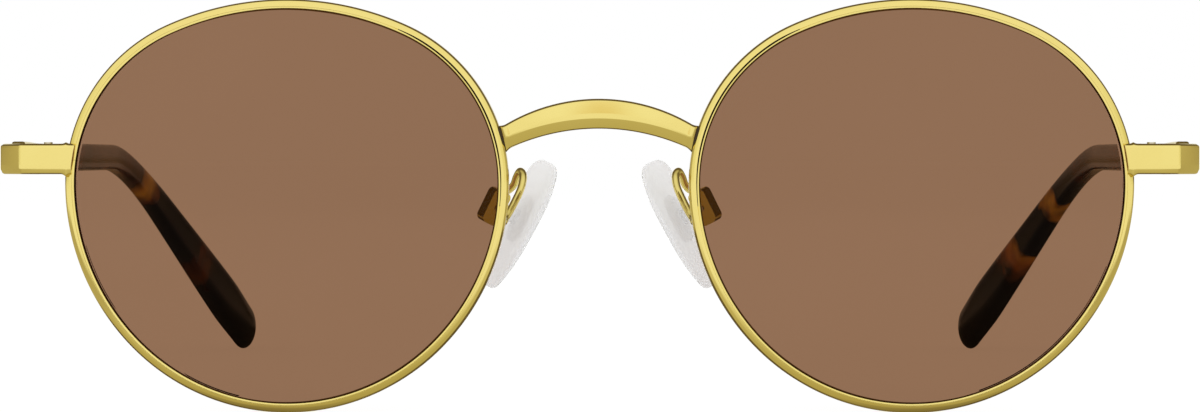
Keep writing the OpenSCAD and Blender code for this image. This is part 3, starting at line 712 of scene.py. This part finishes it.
UPPER = quarter_radii(RIM_W / 2, RIM_RISE, CAP_HALF_ANGLE)
LOWER = quarter_radii(RIM_W / 2, RIM_FALL, FOOT_HALF_ANGLE)
ARCS = [
    (RIM_W / 2 - UPPER[1], 0, UPPER[1], 0, QUARTER - CAP_HALF_ANGLE),
    (0, RIM_RISE - UPPER[0], UPPER[0], QUARTER - CAP_HALF_ANGLE, QUARTER + CAP_HALF_ANGLE),
    (UPPER[1] - RIM_W / 2, 0, UPPER[1], QUARTER + CAP_HALF_ANGLE, 2 * QUARTER),
    (LOWER[1] - RIM_W / 2, 0, LOWER[1], 2 * QUARTER, 3 * QUARTER - FOOT_HALF_ANGLE),
    (0, LOWER[0] - RIM_FALL, LOWER[0], 3 * QUARTER - FOOT_HALF_ANGLE, 3 * QUARTER + FOOT_HALF_ANGLE),
    (RIM_W / 2 - LOWER[1], 0, LOWER[1], 3 * QUARTER + FOOT_HALF_ANGLE, 4 * QUARTER),
]


def outline_stations(step):
    """Points of the outside of the rim with the direction that points away from the lens."""
    places, outward = [], []
    for x, y, r, start, end in ARCS:
        count = math.ceil((end - start) * r / step)
        for i in range(count):
            a = lerp(start, end, i / count)
            places.append((x + r * math.cos(a), y + r * math.sin(a)))
            outward.append((math.cos(a), math.sin(a)))
    return np.array(places), np.array(outward)


def from_rim(x, y, z):
    """A point in the plane of the left rim, with z toward the front, as a point of the part."""
    x, y, z = np.broadcast_arrays(x, y, z)
    return np.stack([
        RIM_X + x * math.cos(WRAP) + z * math.sin(WRAP),
        x * math.sin(WRAP) - z * math.cos(WRAP),
        WIDE_Z + y,
    ], axis=-1)


def rim_reach(y):
    """Distance from the middle of the rim to its outside at height y."""
    x, _, r, _, _ = ARCS[0] if y > 0 else ARCS[5]
    return x + math.sqrt(r * r - y * y)


print("outline of", len(ARCS), "arcs, radii", [round(arc[2], 2) for arc in ARCS[:2]], round(ARCS[3][2], 2))

# %% Section of the rim wire
LINE_AT = -0.85
# The line is dark between these angles, counted in degrees from the temple side over the top
LINE_FROM = 121
LINE_TO = 194
FADE_IN = 14
FADE_OUT = 30
INNER_TILT = math.radians(11)
OUTER_TILT = math.radians(23)
CORNER_STEPS = 4


def line_strength(across, up):
    """How strongly the fine line shows: 1 beside the bridge, 0 elsewhere."""
    angle = math.degrees(math.atan2(up, across)) % 360
    return ease((angle - LINE_FROM) / FADE_IN) * ease((LINE_TO - angle) / FADE_OUT)


def rim_section(strength):
    half = RIM_DEPTH / 2
    line_half = lerp(0.025, 0.1, strength)
    line_deep = lerp(0.02, 0.24, strength)
    crown = -0.5
    shoulder = -0.2
    crown_z = half - (crown - LINE_AT - line_half) * math.tan(INNER_TILT)
    shoulder_z = crown_z - (shoulder - crown) * math.tan(OUTER_TILT)
    corners = [
        (-RIM_BAND, GROOVE_DEPTH), (-RIM_BAND, half - 0.07), (LINE_AT - line_half, half - 0.03),
        (LINE_AT, half - 0.02 - line_deep), (LINE_AT + line_half, half),
        (crown, crown_z), (shoulder, shoulder_z), (0, shoulder_z - 0.28), (0, -0.5),
        (-0.13, -0.82), (-0.34, -half), (-RIM_BAND, -half), (-RIM_BAND, -GROOVE_DEPTH),
        (-RIM_BAND + GROOVE_DEPTH, 0),
    ]
    radii = [0.03, 0.04, 0.02, 0.02, 0.03, 0.5, 0.1, 0.14, 0.3, 0.25, 0.2, 0.09, 0.03, 0.02]
    return round_corners(corners, radii, CORNER_STEPS)


# %% Rim wire
SAW_CUT = 0.03
# The line is too faint to take the painted shade below this strength
LINE_SHOWS = 0.2
places, outward = outline_stations(0.55)
# The wire starts at the upper face of the saw cut and runs round to the lower face
cut = [(rim_reach(END_RISE + s * SAW_CUT / 2), END_RISE + s * SAW_CUT / 2) for s in (1, -1)]
cut_out = [unit((x - ARCS[0][0], y)) for x, y in cut]
above = [i for i in range(len(places)) if places[i][0] > 0 and 0 <= places[i][1]]
upper_run = [i for i in above if places[i][1] > cut[0][1] + 0.2]
lower_run = [i for i in above if places[i][1] < cut[1][1] - 0.2]
order = upper_run + [i for i in range(len(places)) if i not in above]
places = np.vstack([[cut[0]], places[order], places[lower_run], [cut[1]]])
outward = np.vstack([[cut_out[0]], outward[order], outward[lower_run], [cut_out[1]]])
rings, strengths = [], []
for p, d in zip(places, outward):
    strengths.append(line_strength(*p))
    section = rim_section(strengths[-1])
    rings.append(from_rim(p[0] + section[:, 0] * d[0], p[1] + section[:, 0] * d[1], section[:, 1]))
# The painted shade lies on the faces round the fourth corner, which is the bottom of the line
shaded = [
    i * len(section) + j
    for i in range(len(rings) - 1) if strengths[i] > LINE_SHOWS
    for j in range(3 * (CORNER_STEPS + 1) - 1, 4 * (CORNER_STEPS + 1))
]
add_pair("rim", loft(rings), (gold, painted_line_shade), sharp=50, second=shaded)

# %% [markdown]
# Lenses
# A sun lens is a thin shell between two spheres with the same middle, cut to the rim and given a
# ridge round its edge that seats in the groove. A sphere primitive has its poles and its even
# squares in the wrong places, so the lens is drawn as rings of its own outline, shrunk toward
# the middle and lifted onto each sphere. The edge and a thin ring of the front beside it take a
# dark dull painted shade, which gives the thin dark line that every rimmed lens shows just inside the metal.

# %% Lenses
LENS_BACK_R = LENS_R - LENS_T
CHAMFER = 0.08
lens_mid_y = (RIM_RISE - RIM_FALL) / 2
edge_r = (RIM_W + RIM_RISE + RIM_FALL) / 4 - RIM_BAND
lens_centre = math.sqrt((LENS_R - LENS_T / 2) ** 2 - edge_r ** 2)
places, outward = outline_stations(0.8)
inset = RIM_BAND + LENS_PLAY / 2
edge = places - outward * inset
# By the temple the eye looks through the lens at its edge, so the ring of painted shade in front is narrower
# there
edge_shade_width = 0.075 - 0.035 * outward[:, :1] + 0.06 * np.abs(outward[:, 1:])
shade_start = places - outward * (inset + edge_shade_width)
tip = places - outward * (RIM_BAND - GROOVE_DEPTH + LENS_PLAY * math.sqrt(2))
ridge_half = GROOVE_DEPTH - LENS_PLAY * (math.sqrt(2) - 0.5)


def on_sphere(points, radius):
    z = np.sqrt(radius ** 2 - points[:, 0] ** 2 - (points[:, 1] - lens_mid_y) ** 2) - lens_centre
    return from_rim(*points.T, z)


shares = [0.04, 0.12, 0.22, 0.34, 0.46, 0.58, 0.7, 0.8, 0.88, 0.94, 0.975]
rings = [on_sphere(edge * k, LENS_R) for k in shares]
# The faces from this ring to the middle of the ridge take the painted shade
first_edge_shade = len(rings)
rings += [
    on_sphere(shade_start, LENS_R), on_sphere(edge, LENS_R) + (0, CHAMFER, 0),
    from_rim(*edge.T, ridge_half), from_rim(*tip.T, 0), from_rim(*edge.T, -ridge_half),
]
last_edge_shade = len(rings) - 1
rings += [on_sphere(edge, LENS_BACK_R) - (0, CHAMFER, 0), on_sphere(shade_start, LENS_BACK_R)]
rings += [on_sphere(edge * k, LENS_BACK_R) for k in reversed(shares)]
points, faces = loft(rings, caps=False)
# The last two points are the poles of the front and of the back
front_pole = len(points)
points = np.concatenate([points] + [on_sphere(np.zeros((1, 2)), r) for r in (LENS_R, LENS_BACK_R)])
count = len(edge)
last = front_pole - count
for j in range(count):
    k = (j + 1) % count
    faces.append((front_pole, k, j))
    faces.append((front_pole + 1, last + j, last + k))
add_pair(
    "lens", (points, faces), (lens_brown, painted_edge_shade),
    sharp=25, second=range(first_edge_shade * count, last_edge_shade * count)
)

# %% [markdown]
# Bridge
# The bridge is a flat bar, bent into an arch and brazed between the rims. Its front is nearly
# flat, the lower front edge is cut back in a broad bevel, and the solder runs out into small
# fillets where it meets the rims. A bar with a bevel modifier would round every edge alike and end
# square. Here every line along the bar is an arc about one centre that stops at the rim, so both
# ends follow the curve of the rims, and the section swells over the last millimetre. The last
# rings, in the seam beside the rim, take the painted shade of the rims' fine line.

# %% Section of the bridge
BRIDGE_R = 22.4
BRIDGE_RISE = 7.95
BRIDGE_H = 3.4
BRIDGE_END_H = 2.45
BRIDGE_T = 1.7
BRIDGE_BEVEL = 1.15
BRIDGE_BOW = 1.2
BRIDGE_FILLET = 0.22
FILLET_L = 0.8
SEAM_L = 0.3
# How far the ends reach into the band of the rim
BRIDGE_SINK = RIM_BAND * 0.4
arch_z = WIDE_Z + BRIDGE_RISE - BRIDGE_R


def bridge_section(h):
    """Height and depth round the bar, with depth growing toward the back."""
    t = BRIDGE_T / 2
    corners = [
        (h / 2 - 0.3, -t - 0.04), (h / 2 - 0.21, -t), (h / 2, -t + 0.38), (h / 2, t),
        (-h / 2, t), (-h / 2, -t + 0.88), (-h / 2 + 0.12, -t + 0.64),
        (-h / 2 + BRIDGE_BEVEL, -t), (0, -t - 0.06),
    ]
    return round_corners(corners, [0.05, 0.04, 0.08, 0.25, 0.25, 0.1, 0.1, 0.15, 1.0], 4)


def rim_edge_x(z):
    """Outer edge of the left rim on its nasal side at height z of the part."""
    return RIM_X - rim_reach(min(18.0, max(-18.0, z - WIDE_Z))) * math.cos(WRAP)


def arc_end(radius):
    """Swing at which an arc of this radius about the arch's centre is inside the rim band."""
    swing = 0.5
    for _ in range(12):
        x = rim_edge_x(arch_z + radius * math.cos(swing)) + BRIDGE_SINK
        swing = math.asin(x / radius)
    return swing


# %% Bridge
# The rings stand closer near the ends, where the solder and the seam are
toward_end = np.concatenate([np.linspace(0, 0.84, 30)[:-1], np.linspace(0.84, 1, 18)])
stations = np.concatenate([-toward_end[:0:-1], toward_end])
rings = []
for u in stations:
    k = u * u
    h = lerp(BRIDGE_H, BRIDGE_END_H, k)
    y0 = -RIM_W / 2 * math.sin(WRAP) - BRIDGE_BOW * (1 - k)
    ring = []
    for height, depth in bridge_section(h):
        end = arc_end(BRIDGE_R + height)
        to_rim = max(0.0, (1 - abs(u)) * end * (BRIDGE_R + height) - BRIDGE_SINK / math.cos(end))
        flare = BRIDGE_FILLET * max(0.0, 1 - to_rim / FILLET_L) ** 2
        # The solder sinks into a seam beside the rim and stands a little proud next to it
        seam = 0.2 * max(0.0, 1 - to_rim / SEAM_L) ** 2 - 0.07 * math.exp(-((to_rim - 0.6) / 0.22) ** 2)
        height += 2 * height / h * flare
        depth += max(0.0, -2 * depth / BRIDGE_T) * seam
        radius = BRIDGE_R + height
        swing = u * arc_end(radius)
        ring.append((radius * math.sin(swing), y0 + depth, arch_z + radius * math.cos(swing)))
    rings.append(ring)
count = len(ring)
reach_in = arc_end(BRIDGE_R) * BRIDGE_R
# The faces of the last rings beside the rim take the painted shade
seam_faces = [
    i * count + j for i, u in enumerate(stations[:-1])
    if (1 - min(abs(u), abs(stations[i + 1]))) * reach_in < BRIDGE_SINK + 0.2
    for j in range(count)
]
add_piece(
    "bridge_dressed", loft(rings), (gold, painted_line_shade), "front", "bridge", second=seam_faces
)
print("bridge rings:", len(rings), "end swing in degrees:", round(math.degrees(arc_end(BRIDGE_R)), 2))

# %% [markdown]
# End pieces
# Each end piece is a stamped plate that caps the cut in the rim, turns the corner over a slanted
# panel and runs back to the hinge. It is swept along its plan with nearly sharp mitres, which a
# bent curve would smear. Its lower front edge is bevelled, its outer corners are rounded in the
# front view, and a little solder fills the corners where it crosses the rim.

# %% Plan of an end piece
END_H = 3.5
END_T = 1.35
END_PROUD = 0.75
END_LAP = 0.85
SLANT_W = 2.7
SLANT_D = 2.95
END_BEVEL = 0.55
END_CORNER_R = 0.55
rim_end_x = RIM_X + rim_reach(END_RISE) * math.cos(WRAP)
rim_end_y = rim_reach(END_RISE) * math.sin(WRAP)
plate_front = rim_end_y - RIM_DEPTH / 2 - END_PROUD
plate_back = plate_front + END_T
out = HINGE_SPAN / 2
arm_in = out - ARM_T
turn = math.atan2(SLANT_D, SLANT_W)
corner_x, corner_y = out - SLANT_W, plate_front + SLANT_D
inner_x = corner_x - END_T * math.tan(turn / 2)
inner_y = corner_y + ARM_T * math.tan((QUARTER - turn) / 2)
butt_y = HINGE_Y - BUTT_GAP / 2
MITRE_RUN = 0.22
MITRE_STEPS = 5
over_rim = [-0.62, -0.45, -0.3, -0.18, -0.08, 0, 0.08, 0.18, 0.3, 0.45, 0.62, 1.5, 3.0]


def plan_line(depth, *corners):
    """A line of the plan: over the rim at one depth, then round the corners to the hinge."""
    points = np.array([(rim_end_x, depth), *corners], float)
    line = [np.array((rim_end_x + d, depth)) for d in over_rim]
    for before, here, after in zip(points, points[1:], points[2:]):
        line += soft_bend(before, here, after, MITRE_RUN, MITRE_STEPS)
    return line + [points[-1]]


outer = plan_line(plate_front, (corner_x, plate_front), (out, corner_y), (out, butt_y))
inner = plan_line(plate_back, (inner_x, plate_back), (arm_in, inner_y), (arm_in, butt_y))
print("plan stations:", len(outer), "slant in degrees:", round(math.degrees(turn), 1))

# %% Section of an end piece


def end_section(thickness):
    """Points round the plate as depth behind its outer face and height."""
    top = END_H / 2
    t = thickness
    edge_from = top - END_BEVEL
    return [
        (0, 0.5), (0, 0.9), (0, top - 0.5), (0, top - 0.26), (0.01, top - 0.22), (0.05, top - 0.19),
        (0.33, top - 0.01), (0.39, top), (0.5, top), (0.66, top), (t - 0.12, top), (t - 0.03, top - 0.03),
        (t, top - 0.12), (t, 0), (t, -top + 0.12), (t - 0.03, -top + 0.03), (t - 0.12, -top), (0.7, -top),
        (0.56, -top), (0.44, -top + 0.01), (0.33, -top + 0.05), (0.22, -top + 0.12), (0.17, -top + 0.19),
        (0.11, -top + 0.34), (0.03, -edge_from - 0.05), (0.004, -edge_from + 0.03), (0, -edge_from + 0.12),
        (0, -0.6), (0, 0),
    ]


def height_at(x):
    """Half height left beside the rounded outer corner, in the front view."""
    past = min(END_CORNER_R, max(0.0, x - (out - END_CORNER_R)))
    return END_H / 2 - (END_CORNER_R - math.sqrt(END_CORNER_R ** 2 - past ** 2))


def solder(distance, height):
    """How far the solder widens the plate at a distance from the rim's edge."""
    size, spread = (0.16, 0.5) if height > 0 else (0.34, 0.62)
    return size * max(0.0, 1 - abs(distance) / spread) ** 2 * (abs(height) / (END_H / 2)) ** 6


# %% End pieces
rings = []
for i in range(-2, len(outer)):
    a, b = outer[max(0, i)], inner[max(0, i)]
    thickness = np.linalg.norm(b - a)
    ring = []
    for depth, height in end_section(thickness):
        # The end that lies on the rim follows the lens opening and has a small slanted edge
        x, y = lerp(a, b, (max(depth, 0.13) if i == -2 else depth) / thickness)
        if i < 0:
            x = RIM_X + ARCS[0][0] + math.sqrt((ARCS[0][2] - END_LAP) ** 2 - (END_RISE + height) ** 2)
            x += 0.09 * (i + 2)
        side = math.copysign(1, height)
        h = side * min(abs(height), height_at(x))
        if 0 <= i < len(over_rim):
            h += side * solder(over_rim[i], height)
        ring.append((x, y, END_Z + h))
    rings.append(ring)
add_pair("end_piece", loft(rings), gold, sharp=40)

# %% [markdown]
# Temples
# A temple is one metal wire, flattened and plated in front and thin inside the plastic sleeve
# behind. Arm and sleeve follow the same line, which runs straight back, bends down behind the ear
# and leans in toward the head. A curve with a taper object would give one taper only.
# The temple is just long enough for its tip to touch the ground that the rims stand on.

# %% Line of a temple
STRAIGHT_L = 72.75
BARE_L = 36.0
BEND_R = 48.0
BEND_ANGLE = math.radians(36)
BEND_LEAN = math.radians(26)
BEND_L = BEND_R * BEND_ANGLE
ARM_RISE = 0.2


def temple_point(s):
    """The middle and the direction of the temple at length s behind the hinge."""
    turn = min(BEND_ANGLE, max(0.0, (s - STRAIGHT_L) / BEND_R))
    past = max(0.0, s - STRAIGHT_L - BEND_L)
    ahead = min(s, STRAIGHT_L) + BEND_R * math.sin(turn) + past * math.cos(turn)
    down = BEND_R * (1 - math.cos(turn)) + past * math.sin(turn)
    lean_x, lean_z = math.sin(BEND_LEAN), math.cos(BEND_LEAN)
    place = (ARM_X - down * lean_x, HINGE_Y + ahead, END_Z + ARM_RISE - down * lean_z)
    return np.array(place), np.array((-math.sin(turn) * lean_x, math.cos(turn), -math.sin(turn) * lean_z))


def temple_ring(s, shape):
    place, way = temple_point(s)
    across = unit((way[1], -way[0], 0))
    up = np.cross(across, way)
    return [place + q[0] * across + q[1] * up for q in shape]


# %% Metal arms
ARM_FRONT_H = 3.7
ARM_BACK_H = 2.7
TAPER_AT = [0, BARE_L / 9, BARE_L / 4, BARE_L * 4 / 9, BARE_L * 2 / 3, BARE_L]
TAPER = [1, 1, 0.75, 0.35, 0.1, 0]


def arm_shape(h):
    w = ARM_T / 2
    corners = [(w, h / 2), (-w, h / 2), (-w, -h / 2), (w, -h / 2)]
    return round_corners(corners, 0.36, 6)


def arm_height(s):
    """The taper of the arm, smoothed over a few millimetres."""
    near = [np.interp(max(0.0, s + d), TAPER_AT, TAPER) for d in (-2, -1, 0, 1, 2)]
    share = sum(near) / len(near) if 2 < s < BARE_L - 2 else near[2]
    return lerp(ARM_BACK_H, ARM_FRONT_H, float(share))


stops = [BUTT_GAP / 2, 0.6, 1.5, 3, 4, 5, 6, 7.5, 9, 11, 13, 16, 19, 22, 26, 30, 34, BARE_L, BARE_L + 1.5]
rings = [temple_ring(s, arm_shape(arm_height(s))) for s in stops]
# The butt end is bevelled all round, so that it never catches the end piece as it closes
rings[0] = temple_ring(BUTT_GAP / 2, arm_shape(ARM_FRONT_H - 0.52) * (0.88, 1))
rings.insert(1, temple_ring(BUTT_GAP / 2 + 0.38, arm_shape(ARM_FRONT_H)))
add_pair("temple_arm", loft(rings), gold, body="temple", sharp=45)

# %% Section of a sleeve
SLEEVE_H = 3.5
SLEEVE_T = 2.5
TIP_H = 6.8
TIP_T = 2.9
TIP_GROWTH = 50.0
TIP_ROUND = 3.5


def flat_oval(width, height, fullness, count=44):
    """A section with flat sides and round edges, or an ellipse when the fullness is 1."""
    angles = (np.arange(count) + 0.5) * 2 * math.pi / count
    c, s = np.cos(angles), np.sin(angles)
    return np.stack([
        np.sign(c) * np.abs(c) ** lerp(0.5, 1, fullness) * width / 2,
        np.sign(s) * np.abs(s) ** lerp(0.62, 1, fullness) * height / 2,
    ], axis=-1)


def sleeve_rings(total):
    """Rings of a sleeve on a temple of this total length."""
    tip_end = total - TIP_ROUND
    stops = [BARE_L + d for d in (0, 0.04, 0.12, 0.25, 0.42, 0.6, 1.0, 2.0)]
    stops += list(np.linspace(BARE_L + 4, STRAIGHT_L, 18))
    stops += list(np.linspace(STRAIGHT_L, STRAIGHT_L + BEND_L, 22)[1:])
    stops += list(np.linspace(STRAIGHT_L + BEND_L, tip_end, 20)[1:])
    turns = np.radians([10, 20, 30, 40, 50, 60, 68, 75, 81, 86])
    stops += list(tip_end + TIP_ROUND * np.sin(turns))
    rings = []
    for s in stops:
        grow = ease((s - (tip_end - TIP_GROWTH)) / TIP_GROWTH)
        past = max(0.0, (s - tip_end) / TIP_ROUND)
        cap = math.sqrt(max(0.0, 1 - past * past))
        nose = lerp(0.82, 1, math.sqrt(min(1.0, (s - BARE_L) / 0.6)))
        h = lerp(SLEEVE_H, TIP_H, grow) * cap * nose
        t = lerp(SLEEVE_T, TIP_T, grow) * cap * nose
        rings.append(temple_ring(s, flat_oval(t, h, ease((s - tip_end + 9) / 11))))
    return rings


# %% Tortoise sleeves
guess = STRAIGHT_L + BEND_L + 40
above_ground = min(p[2] for ring in sleeve_rings(guess) for p in ring)
temple_l = guess + above_ground / (math.sin(BEND_ANGLE) * math.cos(BEND_LEAN))
sleeve = loft(sleeve_rings(temple_l))
add_pair("temple_sleeve", sleeve, tortoise, body="temple", sharp=60)
print("temple length:", round(temple_l, 2), "lowest point:", round(sleeve[0][:, 2].min(), 3))

# %% [markdown]
# Nose pads
# Each pad hangs on a wire that leaves the rim, loops over like a hairpin and ends in a small
# box with a screw. The pad is a long cushion of clear silicone with blunt ends, wider above than
# below, crowned toward the nose. It could be a sphere pressed flat, but rings of its own outline
# keep the blunt ends and the soft edge.

# %% Place of a pad
PAD_OUT = 9.4
PAD_BACK = 8.3
PAD_DROP = 4.9
PAD_L = 16.2
PAD_W = 7.8
PAD_TAPER = 0.21
PAD_BLUNT = 0.6
PAD_CROWN = 1.45
PAD_REAR = 0.8
PAD_FRONTAL = math.radians(26)
PAD_SPLAY = math.radians(27)
PAD_AXIS_OUT = 3.8
PAD_AXIS_UP = 0.7
BOX_H = 4.2
pad_mid = np.array([PAD_OUT, PAD_BACK, WIDE_Z - PAD_DROP])


def from_pad(p):
    """A point given in the pad's own frame, with x away from the nose, as a point of the part."""
    x = p[0] * math.cos(PAD_SPLAY) + p[1] * math.sin(PAD_SPLAY)
    y = -p[0] * math.sin(PAD_SPLAY) + p[1] * math.cos(PAD_SPLAY)
    return pad_mid + (
        x * math.cos(PAD_FRONTAL) - p[2] * math.sin(PAD_FRONTAL),
        y,
        x * math.sin(PAD_FRONTAL) + p[2] * math.cos(PAD_FRONTAL),
    )


# %% Pad cushions


def blunt(v):
    return math.copysign(abs(v) ** PAD_BLUNT, v)


def pad_ring(share, depth, count=72):
    ring = []
    for i in range(count):
        a = (i + 0.5) * 2 * math.pi / count
        across, up = blunt(math.cos(a)), blunt(math.sin(a))
        wide = share * PAD_W / 2 * across * (1 + PAD_TAPER * (up - 0.15))
        ring.append(from_pad((depth, wide, share * PAD_L / 2 * up)))
    return ring


crown = (0.04, 0.14, 0.26, 0.4, 0.52, 0.63, 0.73, 0.82, 0.9, 0.95, 0.98, 0.995)
rear = (0.985, 0.96, 0.92, 0.86, 0.76, 0.62, 0.45, 0.25, 0.08)
rings = [pad_ring(share, -PAD_CROWN * (1 - share ** 2.4)) for share in crown]
rings += [pad_ring(1.0, 0.07), pad_ring(0.998, 0.2)]
rings += [pad_ring(share, lerp(PAD_REAR, 0.3, share ** 5)) for share in rear]
add_pair("nose_pad", loft(rings), silicone, body="pad", sharp=60)

# %% [markdown]
# Pad arms
# The wire of a pad arm is bent by hand with pliers, so its route is a smooth curve through a few
# chosen points: out of the rim, up and back, over the hairpin and into the box. A bevelled
# curve would do, but rings let the solder thicken the wire at both ends.

# %% Route of the wire
WIRE_R = 0.45
WIRE_COUNT = 20
# The points are given from the nasal end of the rim's widest line, and the last lies in the box
rim_side = np.array([RIM_GAP / 2, 0, WIDE_Z])
route = [rim_side + p for p in (
    (1.1, -0.9, -4.7), (0.5, 0.5, -4.0), (-0.35, 2, -2.5), (-1.2, 3.5, -0.6), (-1.42, 4.6, 0.8),
    (-1.05, 5.4, 1.35), (-0.62, 5.9, 0.7), (-0.28, 6.25, -0.2), (0.3, 6.4, -0.8),
)]
route.append(from_pad((PAD_AXIS_OUT + 0.1, 0, PAD_AXIS_UP + BOX_H / 2 - 0.25)))


def smooth_curve(points, steps):
    """A smooth line through all the points."""
    line = []
    for i in range(len(points) - 1):
        a, b, c, d = (points[min(len(points) - 1, max(0, i + k))] for k in (-1, 0, 1, 2))
        for k in range(steps):
            u = k / steps
            line.append(0.5 * (
                2 * b + (c - a) * u + (2 * a - 5 * b + 4 * c - d) * u * u
                + (3 * b - a - 3 * c + d) * u ** 3
            ))
    line.append(points[-1])
    return np.array(line)


# %% Pad arms
line = smooth_curve(route, 8)
lengths = np.concatenate([[0], np.cumsum(np.linalg.norm(np.diff(line, axis=0), axis=1))])
side = np.array([1, 0, 0.3])
rings = []
for i, p in enumerate(line):
    way = unit(line[min(len(line) - 1, i + 1)] - line[max(0, i - 1)])
    side = unit(side - (side @ way) * way)
    other = np.cross(way, side)
    # The solder at both ends thickens the wire where it meets the rim and the box
    from_start, from_end = lengths[i], lengths[-1] - lengths[i]
    thick = 0.12 * math.exp(-((from_start - 0.9) / 0.5) ** 2) + 0.15 * math.exp(-(from_end / 0.5) ** 2)
    r = WIRE_R + thick
    rings.append([
        p + r * math.cos(a) * side + r * math.sin(a) * other
        for a in np.linspace(0, 2 * math.pi, WIRE_COUNT, endpoint=False)
    ])
add_pair("pad_arm", loft(rings), gold, sharp=60)

# %% [markdown]
# Small hardware
# The closing blocks, hinges, screws, pad boxes and pad plates keep their exact CAD shape, with
# the bores and slots that they need. A bevel modifier gives the edges of all but the pad plates
# the small round that tumbling leaves on such parts, so that each edge catches the light.

# %% Small hardware
HARDWARE = {
    "upper_closing_block": (gold, 0.06),
    "lower_closing_block": (gold, 0.06),
    "front_hinge": (gold, 0.07),
    "temple_hinge": (gold, 0.07),
    "pad_box": (gold, 0.16),
    "lock_screw": (steel, 0.04),
    "hinge_screw": (steel, 0.04),
    "pad_screw": (steel, 0.03),
    "pad_insert": (clear_plate, 0.0),
}
for stem, (material, width) in HARDWARE.items():
    for side in ("left", "right"):
        node = frame["nodes"][f"{side}_{stem}"]
        node.data.materials.clear()
        node.data.materials.append(material)
        if width:
            bevel = node.modifiers.new("small round", "BEVEL")
            bevel.width = width * MM
            bevel.segments = 2
            bevel.limit_method = "ANGLE"
            bevel.angle_limit = math.radians(40)
            bevel.harden_normals = True
print("kept CAD pieces:", len(HARDWARE) * 2)
